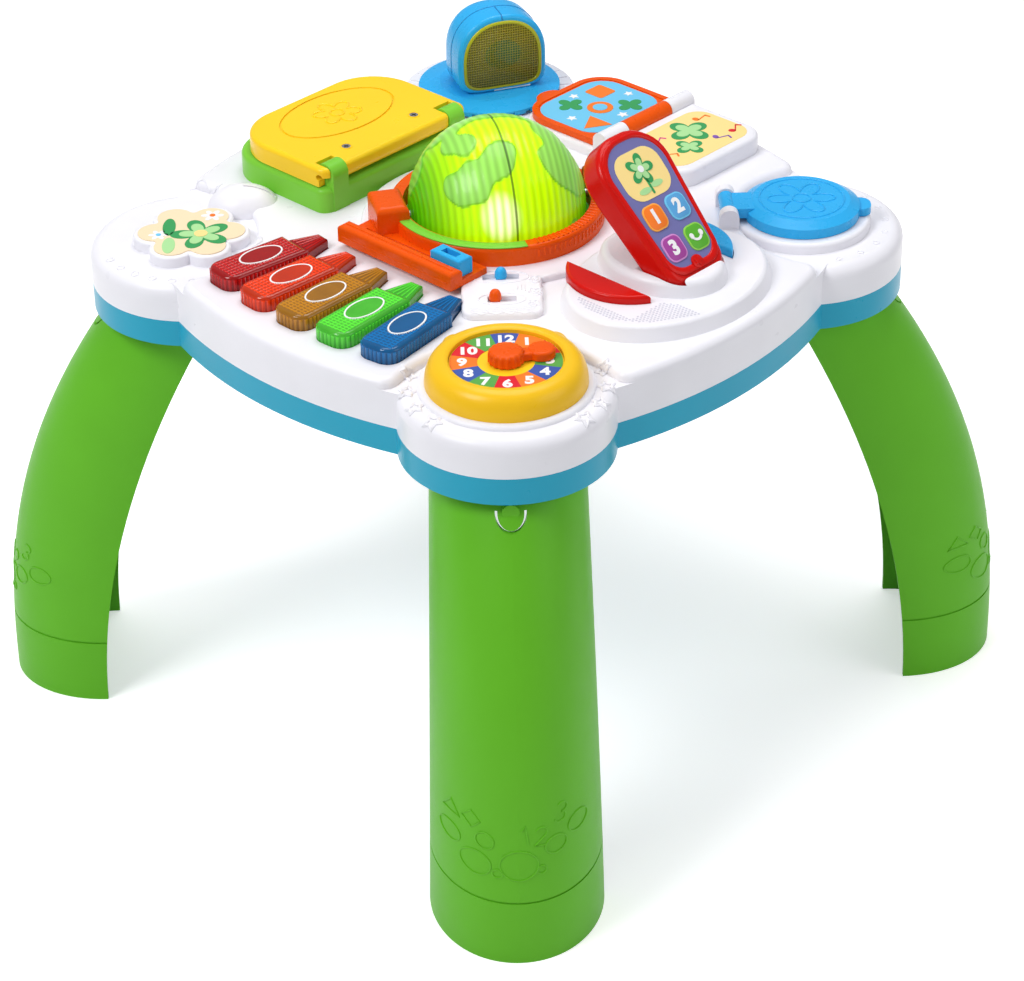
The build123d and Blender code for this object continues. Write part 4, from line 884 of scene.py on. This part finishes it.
knob_rings = [knob_ring(0, 0, scallop_depth)]
for i in range(5):
    lean = pi / 2 * i / 4
    height = knob_rise - knob_edge * (1 - sin(lean))
    knob_rings.append(knob_ring(knob_edge * (1 - cos(lean)), height, scallop_depth * cos(lean)))
neck_outline = rounded_box(neck_length, neck_width, neck_corner, 3, (neck_middle, 0))
hand_parts = [skin(knob_rings, orange, hand_place),
              crowned(disc(pointer_end, 48, (pointer_reach, 0)), pointer_rise, pointer_edge),
              crowned(neck_outline, pointer_rise - neck_drop, neck_edge)]
hand = piece("clock_hand_turned", joined(hand_parts), "clock_pointer", sharp=50)
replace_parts(hand, "clock_hand")


# Stars moulded on the white rim beside the clock

star_reach, star_line = 0.0568, 0.0011
star_rows = [(48, 0.0056), (67, 0.0050), (85, 0.0056), (102, 0.0044)]
stars = []
for side in (-1, 1):
    for degrees, size in star_rows:
        angle = side * degrees
        corners = star(size, size * 0.5, turn=angle + 180, middle=around(star_reach, angle))
        stars.append(ridge(stepped(corners, 3), star_line, table_sky @ clock_frame))
piece("rim_stars", joined(stars), "table")


# Leg reliefs: a bare oval, pebbles, plain shapes and plain numerals

upright_path = Matrix(((0, 0, 1, sky), (1, 0, 0, 0), (0, 1, 0, 0), (0, 0, 0, 1)))
relief_radius, shape_size, leg_numeral_size = 0.0006, 0.0052, 0.0115
# Pebbles and the oval: place across and up the leg, and half widths
pebbles = [(-0.025, 0.068, 0.0088, 0.0078), (-0.039, 0.079, 0.0056, 0.0056), (-0.0125, 0.064, 0.0030, 0.0028),
           (0.0215, 0.080, 0.0062, 0.0056), (0.0345, 0.087, 0.0056, 0.0056), (0.0130, 0.066, 0.0028, 0.0026),
           (0.0, 0.070, 0.0112, 0.0098)]
# Strokes of three plain numerals in a unit box, with their place on the leg and their tilt in degrees
leg_numerals = [
    ([(-0.18, 0.28), (0.06, 0.5), (0.06, 0.17), (0.06, -0.17), (0.06, -0.5)], 0.004, 0.090, 8),
    (arc((0, 0.22), 0.28, 165, -40) + [(-0.05, -0.22), (-0.3, -0.5), (0.0, -0.5), (0.3, -0.5)],
     0.0130, 0.088, -4),
    (arc((0, 0.24), 0.25, 150, -80) + arc((0, -0.23), 0.27, 80, -150), 0.0245, 0.099, -12)]


def corner_shape(corners, middle):
    return stepped(star(shape_size, shape_size * cos(pi / corners), corners, 90, middle), 2)


def placed(path, middle, size, degrees):
    """Path scaled, turned and moved to a middle."""
    c, s = size * cos(radians(degrees)), size * sin(radians(degrees))
    return [(middle[0] + c * x - s * y, middle[1] + s * x + c * y) for x, y in path]


leg_paths = [(oval(half_x, half_z, 30, (x, z)), True) for x, z, half_x, half_z in pebbles]
leg_paths += [(corner_shape(3, (-0.038, 0.094)), True), (corner_shape(4, (-0.027, 0.095)), True),
              (disc(shape_size, 24, (-0.0195, 0.084)), True)]
leg_paths += [(placed(strokes, (x, z), leg_numeral_size, tilt), False)
              for strokes, x, z, tilt in leg_numerals]
for node, degrees in (("leg_front_right", -45), ("leg_front_left", -135), ("leg_rear_right", 45),
                      ("leg_rear_left", 135)):
    inward = turned(degrees) @ Vector((-1, 0, 0))
    leg_parts = [ridge(path, relief_radius, turned(degrees) @ upright_path, node, leg_green, closed, inward)
                 for path, closed in leg_paths]
    piece(node + "_relief", joined(leg_parts), "table")


# Front left lobe: printed pad with a plain flower, waving lines on the white and dots on the rim

pad_place = pad_frame @ moved(0, 0.006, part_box("picture_print")[1].z)
pad_dot_reach, pad_dot_radius = 0.0555, 0.0022
pad_flower = (-0.006, 0.004)
pad_rows = two_toned(5, pad_flower, 1, (0.0075, 0.0115), (0.0050, 0.0085)) + [
    (disc(0.0042, 24, pad_flower), 3, "straw"), (oval(0.0040, 0.0110, 30, (0.014, -0.006)), 1, "leaf"),
    (oval(0.0040, 0.0100, 30, (0.013, 0.018)), 1, "mint"),
    (petals(0.0030, 0.0042, 6, (-0.012, -0.020)), 1, "white"),
    (disc(0.0018, 18, (-0.012, -0.020)), 2, "orange"),
    (petals(0.0026, 0.0036, 6, (0.020, 0.004)), 1, "white"), (disc(0.0016, 18, (0.020, 0.004)), 2, "sky")]
piece("pad_flower_print", joined(prints(pad_place, pad_rows)), "table")


def waving_line(start, length, wave, degrees, count=46):
    """Waving line that flattens towards its end."""
    shares = [i / (count - 1) for i in range(count)]
    path = [(length * t, wave * sin(2.6 * pi * t) * (1 - 0.4 * t)) for t in shares]
    return placed(path, start, 1.0, degrees)


pad_relief = [ridge(waving_line((-0.1640, -0.0800), 0.026, 0.0040, 208), 0.0008, closed=False),
              ridge(waving_line((-0.0960, -0.1120), 0.030, 0.0035, -52), 0.0007, closed=False)]
for i in range(6):
    spot = pad_frame @ Vector((*around(pad_dot_reach, 28 + 13 * i), 0))
    pad_relief.append(ridge(disc(pad_dot_radius, 14, (spot.x, spot.y)), 0.0005))
piece("pad_lobe_relief", joined(pad_relief), "table")


# Flip book prints: plain shapes on the page, clovers and notes on the base

page_place = moved(-0.0470, 0.1465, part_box("book_page")[0].z + 0.0035)
page_rows = [
    (rounded_box(0.0590, 0.0690, 0.0165), 1, "sky"),
    (rounded_box(0.0150, 0.0150, 0.0020, middle=(-0.0140, 0.0170)), 2, "orange"),
    (disc(0.0086, 36, (0.0020, -0.0010)), 2, "orange"), (disc(0.0048, 36, (0.0020, -0.0010)), 3, "sky"),
    (star(0.0110, 0.0055, 3, 30, (0.0150, -0.0200)), 2, "orange"),
    (petals(0.0040, 0.0055, 4, (0.0140, 0.0150)), 2, "leaf"),
    (petals(0.0040, 0.0055, 4, (-0.0150, -0.0110)), 2, "leaf")]
page_stars = [(0.0040, 0.0200, 0.0010), (0.0036, -0.0010, -0.0250), (0.0036, -0.0220, 0.0),
              (0.0034, 0.0020, 0.0270)]
page_rows += [(star(size, size / 2, middle=(x, y)), 2, "white") for size, x, y in page_stars]
piece("page_print", joined(prints(page_place, page_rows)), "page")

base_place = moved(0.0290, 0.1470, 0.330)
base_rows = [(rounded_box(0.0490, 0.0740, 0.0120), 1, "straw")]
base_rows += two_toned(4, (-0.0060, 0.0080), 2, (0.0065, 0.0085), (0.0045, 0.0060))
base_rows += two_toned(4, (0.0090, -0.0090), 2, (0.0045, 0.0060), (0.0030, 0.0040))
base_parts = prints(base_place, base_rows)
note_outlines = [oval(0.0024, 0.0019, 18), rounded_box(0.0008, 0.0090, 0.0003, 2, (0.0021, 0.0042)),
                 rounded_box(0.0042, 0.0012, 0.0005, 2, (0.0040, 0.0082))]
for x, y, colour, degrees in ((-0.0110, -0.0200, "pink", 30), (0.0120, 0.0130, "purple", -20),
                              (-0.0140, 0.0240, "orange", 10), (0.0140, 0.0270, "red", 40),
                              (0.0030, -0.0270, "orange", -35)):
    note_place = base_place @ moved(x, y, 0) @ turned(degrees)
    base_parts += prints(note_place, [(outline, 2, colour) for outline in note_outlines])
piece("book_base_print", joined(base_parts), "table")


# Handset: panel with a raised rim, key caps with plain numerals, a printed flower and a foot ornament

handset_normal = Vector((0, 1, 0)).cross(handset_axis)
handset_place = moved(0.160, 0.010, 0.333) @ Matrix((
    (0, handset_axis.x, handset_normal.x, 0), (1, handset_axis.y, handset_normal.y, 0),
    (0, handset_axis.z, handset_normal.z, 0), (0, 0, 0, 1)))
panel_foot_half, panel_top_half, panel_length = 0.0230, 0.0300, 0.0990
panel_foot_corner, panel_top_corner = 0.014, 0.022
panel_rise, panel_border, panel_foot = 0.0003, 0.0052, 0.0110
rim_border, rim_foot, rim_rise, rim_ease = 0.0020, 0.0064, 0.0010, 0.0008
key_across, key_rows, key_rise = 0.0100, (0.0240, 0.0452), 0.0012
cap_width, cap_height, cap_corner, cap_edge = 0.0140, 0.0148, 0.0044, 0.0018
cap_numeral, cap_numeral_rise, cap_numeral_weight = 0.0125, 0.0003, 0.0006
bow_middle, bow_outer, bow_inner = (0, 0.0022), 0.0050, 0.0034
ornament_radius = 0.0044


def panel_outline(border, foot_border):
    """Handset outline drawn in by a border, with round top corners and smaller round foot corners."""
    slope = (panel_top_half - panel_foot_half) / panel_length
    points = []
    for side, foot, start in ((1, True, -90), (1, False, 0), (-1, False, 90), (-1, True, 180)):
        corner = (panel_foot_corner if foot else panel_top_corner) - border / 2
        y = foot_border + corner if foot else panel_length - border - corner
        x = side * (panel_foot_half + slope * y - border - corner)
        points += arc((x, y), corner, start, start + 90, 8)
    return points


panel_face = panel_outline(panel_border, panel_foot)
piece("handset_panel_face", tile(panel_face, panel_rise, handset_place, panel_purple), "handset")
rim_edge = panel_outline(rim_border, rim_foot)
rim_crest = panel_outline(rim_border + rim_ease, rim_foot + rim_ease)
rim_inner = panel_outline(panel_border - rim_ease, panel_foot - rim_ease)
rim_rows = [(rim_edge, -rim_rise), (rim_edge, rim_rise / 2), (rim_crest, rim_rise), (rim_inner, rim_rise),
            (panel_face, panel_rise), (panel_face, -rim_rise)]
rim_rings = [[(x, y, height) for x, y in outline] for outline, height in rim_rows]
piece("handset_rim", skin(rim_rings, red, handset_place, loop=True), "handset", sharp=60)
cap_parts = []
for side, row, colour, edge, words in ((-1, 1, "orange", "apricot", "1"), (1, 1, "azure", "sky", "2"),
                                       (-1, 0, "plum", "lilac", "3"), (1, 0, "green", "lime", "")):
    spot = handset_place @ moved(side * key_across, key_rows[row], 0)
    edge_outline = rounded_box(cap_width + cap_edge, cap_height + cap_edge, cap_corner + 0.0008)
    cap_parts.append(tile(edge_outline, key_rise - 0.0002, spot, ink[edge], 0.0002))
    cap_outline = rounded_box(cap_width, cap_height, cap_corner)
    cap_parts.append(tile(cap_outline, key_rise, spot, ink[colour], 0.0003))
    top = spot @ moved(0, 0, key_rise)
    if words:
        cap_parts.append(figure(words, cap_numeral, cap_numeral_rise, top, cap_numeral_weight))
    else:
        bow = arc(bow_middle, bow_outer, 205, 335) + arc(bow_middle, bow_inner, 335, 205)
        ends = [oval(0.0015, 0.0019, 20, (end * 0.0039, 0.0012)) for end in (-1, 1)]
        cap_parts += prints(top, [(bow, 1, "white")] + [(end, 2, "white") for end in ends])
piece("handset_key_caps", joined(cap_parts), "handset")
picture_place = handset_place @ moved(0, 0.0715, panel_rise)
picture_flower = (0, 0.0030)
picture_rows = [(rounded_box(0.0370, 0.0310, 0.0110), 1, "straw"),
                (rounded_box(0.0016, 0.0140, 0.0006, 3, (0, -0.0065)), 2, "leaf")]
picture_rows += two_toned(5, picture_flower, 2, (0.0045, 0.0060), (0.0030, 0.0042))
picture_rows += [(disc(0.0022, 20, picture_flower), 4, "white"),
                 (oval(0.0050, 0.0020, 20, (0.0055, -0.0085)), 2, "mint"),
                 (oval(0.0050, 0.0020, 20, (-0.0055, -0.0100)), 2, "mint")]
piece("handset_picture", joined(prints(picture_place, picture_rows)), "handset")
ornament_place = handset_place @ moved(0, rim_foot + ornament_radius, rim_rise / 2)
ornament_parts = [tile(disc(ornament_radius), rim_rise, ornament_place, red, 0.0004),
                  tile(petals(0.0016, 0.0013, 5), 0.0015, ornament_place, red, 0.0002)]
piece("handset_foot_ornament", joined(ornament_parts), "handset")


# Speaker grille on the telephone's platform: small grey pegs that paint the shade in its holes

tier_oval, tier_share = (0.134, 0.005, 0.056, 0.074), 0.85
dock_oval, dock_share = (0.126, 0.010, 0.0475, 0.0385), 1.03
red_low, red_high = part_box("phone_button_red")
grille_step, grille_left, grille_near, grille_side, grille_far = 0.0023, 0.100, -0.070, 0.112, -0.018


def oval_share(x, y, middle_x, middle_y, half_x, half_y):
    """How far out a point lies in an oval: 1 on its edge."""
    return sqrt(((x - middle_x) / half_x) ** 2 + ((y - middle_y) / half_y) ** 2)


def in_grille(x, y):
    """True on the platform's front shoulder, clear of the dock and of the red button."""
    on_shoulder = oval_share(x, y, *tier_oval) < tier_share and oval_share(x, y, *dock_oval) > dock_share
    by_button = red_low.x - 0.003 < x < red_high.x + 0.004 and y > red_low.y - 0.0035
    return on_shoulder and not by_button and y < grille_far and x > grille_side


grille_points = []
for i in range(40):
    for j in range(40):
        x = grille_left + (i + 0.5 * (j % 2)) * grille_step
        y = grille_near + j * grille_step * 0.866
        if in_grille(x, y):
            grille_points.append(land_on("top_shell", (x, y, sky), down)[0])
grille = grow(perforations, grille_points, [], white_painted_shade, Radius=0.00075, Depth=0.0003)
piece("speaker_grille", grille, "table")


# Globe stand: ribs on the right front of its ring, a bare green strip and lines on the tray's bar

ring_outer, ring_inner, ring_top, ring_rib_foot, ring_rib = 0.0665, 0.0585, 0.334, 0.3265, 0.0009
strip_outer, strip_inner, strip_rise = 0.0660, 0.0588, 0.0006
tray_near, tray_left, tray_right, tray_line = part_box("globe_stand")[0].y, -0.046, 0.043, 0.0006
stand_parts = []
for i in range(24):
    degrees = -24 + 3.2 * i
    inner, outer = around(ring_inner, degrees), around(ring_outer - 0.0020, degrees)
    wall = around(ring_outer - 0.0002, degrees)
    stand_parts.append(bar((*inner, ring_top), (*outer, ring_top - 0.0002), ring_rib, orange))
    stand_parts.append(bar((*wall, ring_top - 0.0030), (*wall, ring_rib_foot), ring_rib, orange))
for near, height in ((0.0003, ring_rib_foot), (0.0050, 0.3330)):
    ends = [(x, tray_near + near, height) for x in (tray_left, tray_right)]
    stand_parts.append(bar(*ends, tray_line, orange))
piece("stand_ribs", joined(stand_parts), "table")
strip = arc((0, 0), strip_outer, -110, -30, 40) + arc((0, 0), strip_inner, -30, -110, 40)
strip_mesh = tile(strip, strip_rise, moved(0, 0, ring_top - 0.0001), laptop_green, strip_rise / 2)
piece("stand_strip", strip_mesh, "table")


# Switch plate: raised ovals round the slots, level bars, three small flowers and waving lines

plate_sky = table_sky @ turned(-45)
plate_line, flower_line, wave_line, wave_count = 0.0005, 0.0006, 0.0004, 23
plate_parts = [ridge(oval(0.0075, 0.0165, 44, (0.079, 0)), plate_line, plate_sky),
               ridge(oval(0.0070, 0.0140, 44, (0.106, 0)), plate_line, plate_sky)]
for i in range(3):
    start, length, across = 0.0905 - 0.0006 * i, 0.0040 + 0.0018 * i, 0.0095 + 0.0022 * i
    level = [(start + length * s / 3, across) for s in range(4)]
    plate_parts.append(ridge(level, plate_line, plate_sky, closed=False))
for along, across, size in ((0.083, 0.0205, 0.0042), (0.0985, 0.0200, 0.0046), (0.112, 0.0185, 0.0036)):
    plate_parts.append(ridge(petals(size * 0.62, size * 0.4, 5, (along, across)), flower_line, plate_sky))
    plate_parts.append(ridge(disc(size * 0.3, 14, (along, across)), plate_line, plate_sky))
for i in range(4):
    waves = []
    for s in range(wave_count + 1):
        along = 0.1165 + 0.0021 * i + 0.0006 * sin(9 * s / wave_count * pi + i)
        waves.append((along, -0.019 + 0.038 * s / wave_count))
    plate_parts.append(ridge(waves, wave_line, plate_sky, closed=False))
piece("switch_plate_relief", joined(plate_parts), "table")


# Switch knobs: domed tops a little slimmer than their solids

switch_rise, switch_reach, switch_neck, switch_power = 0.0062, 0.0037, 0.0030, 2.6
for node, body, slot, material in (("volume_switch", "volume_knob", "blue_plastic", blue),
                                   ("language_switch", "language_knob", "orange_plastic", orange)):
    low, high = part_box(node)
    shoulder = high.z - switch_rise
    row = [(switch_neck, low.z), (switch_neck, shoulder)]
    row += closed_dome(switch_reach, shoulder, high.z, switch_power)
    top = turned_shape(row, moved((low.x + high.x) / 2, (low.y + high.y) / 2, 0), material, 40)
    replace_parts(piece(node + "_top", top, body, sharp=50), node)


# Dish: ring and leaf lines on the lid, dots round the rim

dish_sky = table_sky @ dish_frame
dish_line, dish_dot_reach, dish_dot_radius = 0.0006, 0.0525, 0.0017
lid_parts = [ridge(path, dish_line, dish_sky, "dish_lid", blue)
             for path in (disc(0.0262, 64), petals(0.0085, 0.0125, 6), disc(0.0055, 28))]
piece("dish_lid_relief", joined(lid_parts), "dish_cover")
dot_parts = [ridge(disc(dish_dot_radius, 12, around(dish_dot_reach, -70 + 17.5 * i)), 0.0005, dish_sky)
             for i in range(9)]
piece("dish_rim_dots", joined(dot_parts), "table")


# Lamp: round hood with seams, a rimmed lens with a fine grid, and a pale strip at its foot

lamp_degrees = 17
lamp_turn = lamp_frame @ turned(lamp_degrees)
lamp_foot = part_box("lamp_head")[0].z
hood_half, hood_waist, hood_rise, hood_shift = 0.0305, 0.0220, 0.0315, 0.0030
hood_front, hood_edge, hood_bend, hood_back = 0.0205, 0.0030, -0.0040, -0.0215
hood_top_power, hood_foot_power, hood_back_power = 2.3, 5.0, 2.4
lens_scale, lens_rim_width, lens_rim_rise, lens_step, lens_line = 0.885, 0.075, 0.0010, 0.0017, 0.00025
core_half_x, core_half_z, core_height = 0.0125, 0.0100, 0.0265
seam_depth, seam_line, seam_foot = 0.0040, 0.00035, 0.008
strip_left, strip_right, strip_height, strip_back, strip_line = -0.006, 0.019, 0.0014, 0.0012, 0.0011
grid_scale, grid_plane = lens_scale - lens_rim_width, hood_front + 0.0003


def on_lamp(across, height, depth):
    """Point on the lamp's head: depth is measured from its axis towards the middle of the table."""
    return lamp_turn @ Vector((-depth, -across - hood_shift, lamp_foot + height))


def signed_power(value, power):
    return abs(value) ** power if value > 0 else -abs(value) ** power


def hood_ring(depth, scale, foot_scale=None, count=80):
    """Outline of the hood at a depth: a round arch on a squarer foot."""
    ring = []
    for k in range(count):
        angle = 2 * pi * (k + 0.5) / count
        above = sin(angle) > 0
        power = 2 / (hood_top_power if above else hood_foot_power)
        reach = scale * hood_rise if above else (foot_scale or scale) * hood_waist
        across = scale * hood_half * signed_power(cos(angle), power)
        ring.append(on_lamp(across, hood_waist + reach * signed_power(sin(angle), power), depth))
    return ring


def left_of(share, power):
    return (1 - share ** power) ** (1 / power)


def arch_span(across):
    """Lowest and highest point of the lens field at a distance from its middle line."""
    share = min(1.0, abs(across) / (grid_scale * hood_half))
    low = hood_waist * (1 - grid_scale * left_of(share, hood_foot_power))
    return low, hood_waist + grid_scale * hood_rise * left_of(share, hood_top_power)


def field_half(height):
    """Half width of the lens field at a height."""
    above = height > hood_waist
    share = min(1.0, abs(height - hood_waist) / (grid_scale * (hood_rise if above else hood_waist)))
    return grid_scale * hood_half * left_of(share, hood_top_power if above else hood_foot_power)


front_edge = []
for i in range(6):
    lean = pi / 2 * (5 - i) / 5
    front_edge.append((hood_front - hood_edge * (1 - sin(lean)), 1 - hood_edge * (1 - cos(lean)) / hood_half))
hood_rings = [hood_ring(hood_front - 0.004, lens_scale), hood_ring(hood_front, lens_scale)]
hood_rings += [hood_ring(*station) for station in front_edge] + [hood_ring(hood_bend, 1.0)]
for i in range(1, 10):
    lean = pi / 2 * i / 10
    depth = hood_bend + (hood_back - hood_bend) * sin(lean) ** (2 / hood_back_power)
    hood_rings.append(hood_ring(depth, cos(lean) ** (2 / hood_back_power), 1.0))
hood = piece("lamp_hood", skin(hood_rings, blue), "lamp", sharp=50)
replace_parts(hood, "lamp_head")
lens_rings = [hood_ring(hood_front + proud, scale) for proud, scale in (
    (-0.002, lens_scale), (-0.0002, lens_scale), (0.0002, 0.5), (0.0003, 0.1))]
lens = piece("lamp_lens_plate", skin(lens_rings, lens_tints["amber"]), "lamp")
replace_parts(lens, "lamp_lens")
lens_rim_rings = []
for i in range(10):
    angle = 2 * pi * i / 10
    rim_scale = lens_scale - lens_rim_width / 2 * (1 - cos(angle))
    lens_rim_rings.append(hood_ring(hood_front + lens_rim_rise * sin(angle), rim_scale))
lens_rim = skin(lens_rim_rings, lens_tints["rim"], loop=True)
piece("lamp_lens_rim", lens_rim, "lamp", sharp=60)

grid_ends = []
columns_half = int(grid_scale * hood_half / lens_step)
for i in range(-columns_half, columns_half + 1):
    grid_ends.append([(i * lens_step, height) for height in arch_span(i * lens_step)])
field_foot, field_top = arch_span(0)
for i in range(1, int((field_top - field_foot) / lens_step)):
    height = field_foot + i * lens_step
    grid_ends.append([(side * field_half(height), height) for side in (-1, 1)])
grid = []
for ends in grid_ends:
    grid.append(bar(*[on_lamp(*end, grid_plane) for end in ends], lens_line, lens_tints["line"], 5))
core_turn = turned(135 + lamp_degrees - 90) @ Matrix.Rotation(pi / 2, 4, "X")
core_place = Matrix.Translation(on_lamp(0, core_height, hood_front)) @ core_turn
grid.append(tile(oval(core_half_x, core_half_z), 0.0004, core_place, lens_tints["core"]))
piece("lens_grid", joined(grid), "lamp")

whole_ring = hood_ring(seam_depth, 1.0)
from_foot = 3 * len(whole_ring) // 4
foot_first = whole_ring[from_foot:] + whole_ring[:from_foot]
seam_ring = [point for point in foot_first if point.z > lamp_foot + seam_foot]
crest = [on_lamp(0, hood_waist + hood_rise * scale, depth) for depth, scale in front_edge]
crest.append(on_lamp(0, hood_waist + hood_rise, seam_depth))
# The seams are thin darker blue bars: painted shade in them.
seams = [bar(a, b, seam_line, blue_painted_shade, 6) for row in (seam_ring, crest) for a, b in zip(row, row[1:])]
piece("lamp_seam", joined(seams), "lamp")
strip_ends = [on_lamp(across, strip_height, hood_front - strip_back) for across in (strip_left, strip_right)]
piece("lamp_foot_strip", bar(*strip_ends, strip_line, white, 10), "lamp")


# Laptop lid: plain flower in the oval, and two screws by the hinge

lid_flower, lid_line = (-0.140, 0), 0.0007
screw_place, screw_apart, screw_radius, screw_rim = -0.101, 0.030, 0.0028, 0.0040
lid_relief = [ridge(path, lid_line, table_sky, "laptop_lid", yellow)
              for path in (petals(0.0085, 0.0075, 6, lid_flower), disc(0.0045, 24, lid_flower))]
piece("laptop_lid_relief", joined(lid_relief), "laptop_cover")
screw_parts = []
for side in (-1, 1):
    spot = moved(screw_place, side * screw_apart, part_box("laptop_lid")[1].z)
    screw_parts.append(oval_ring(screw_rim, screw_rim, 0.0004, 0.0003, spot, yellow, 28))
    screw_parts.append(tile(disc(screw_radius, 24), 0.0002, spot, steel))
    # The cross slots are dark bars on the steel heads: painted shade in the slots.
    for quarter in (0, 90):
        screw_parts.append(tile(rounded_box(0.0040, 0.0008, 0.0003, 2), 0.0003, spot @ turned(quarter), dark_and_slot_shade))
piece("laptop_lid_screws", joined(screw_parts), "laptop_cover")


# Floor, light and camera

floor_lift, floor_reach = 0.50, 6.0


def floor_material():
    """Pale studio floor: it takes the shadow, and seen directly it is lifted towards white."""
    material, tree, shader = new_material("studio_floor")
    cloud = noise(tree, object_place(tree), 3.0, 2.0)
    rays = add(tree, "ShaderNodeLightPath").outputs
    seen = math(tree, "ADD", rays["Is Camera Ray"], rays["Is Glossy Ray"])
    seen = math(tree, "MINIMUM", math(tree, "ADD", seen, rays["Is Transmission Ray"]), 1.0)
    wire(tree, shader, {
        "Base Color": blend_colours(tree, cloud, (0.88, 0.88, 0.88, 1), (0.90, 0.90, 0.90, 1)),
        "Roughness": 0.9, "Specular IOR Level": 0.1, "Emission Color": (1.0, 0.965, 0.97, 1),
        "Emission Strength": math(tree, "MULTIPLY", seen, floor_lift)})
    return material


floor_mesh = bpy.data.meshes.new("floor")
floor_corners = [(x * floor_reach, y * floor_reach, 0) for x, y in ((-1, -1), (1, -1), (1, 1), (-1, 1))]
floor_mesh.from_pydata(floor_corners, [], [(0, 1, 2, 3)])
floor_mesh.materials.append(floor_material())
floor = bpy.data.objects.new("floor", floor_mesh)
scene.collection.objects.link(floor)
floor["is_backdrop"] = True


def from_diagonal(across, away, height):
    """Point given as the camera sees it: across to the right, away from the camera, and height."""
    return Vector((sqrt(0.5) * (across - away), sqrt(0.5) * (across + away), height))


def soft_lamp(name, place, size, power):
    data = bpy.data.lights.new(name, "AREA")
    data.shape = "DISK"
    data.size = size
    data.energy = power
    lamp = bpy.data.objects.new(name, data)
    lamp.location = place
    aim = Vector((0, 0, 0.25)) - place
    lamp.rotation_euler = aim.to_track_quat("-Z", "Y").to_euler()
    scene.collection.objects.link(lamp)


soft_lamp("key_lamp", from_diagonal(-1.3, -0.9, 1.9), 1.0, 27)
soft_lamp("fill_lamp", from_diagonal(1.6, -0.8, 1.1), 1.4, 8)
soft_lamp("top_lamp", from_diagonal(0.1, 0.6, 2.2), 1.5, 21)

world = bpy.data.worlds.new("studio")
world.use_nodes = True
scene.world = world
background = world.node_tree.nodes["Background"]
wire(world.node_tree, background, {"Color": (0.97, 0.97, 1.0, 1), "Strength": 0.34})

camera_yaw, camera_pitch, camera_roll = radians(1.35085), radians(-32.6206), radians(-0.858)
camera_place = (1.19365, -1.24165, 1.22269)
camera_flat = cos(camera_pitch)
forward = Vector((sin(camera_yaw) * camera_flat, cos(camera_yaw) * camera_flat, sin(camera_pitch)))
right = Vector((cos(camera_yaw), -sin(camera_yaw), 0))
up = right.cross(forward)
rolled_right = cos(camera_roll) * right + sin(camera_roll) * up
rolled_up = -sin(camera_roll) * right + cos(camera_roll) * up
columns = [from_diagonal(*axis) for axis in (rolled_right, rolled_up, -forward)]
camera_data = bpy.data.cameras.new("camera")
camera_data.lens = 110.36
camera_data.sensor_width = 36.0
camera = bpy.data.objects.new("camera", camera_data)
scene.collection.objects.link(camera)
camera.matrix_world = Matrix.Translation(camera_place) @ Matrix(columns).transposed().to_4x4()
scene.camera = camera
scene.view_settings.view_transform = "Standard"

low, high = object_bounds()
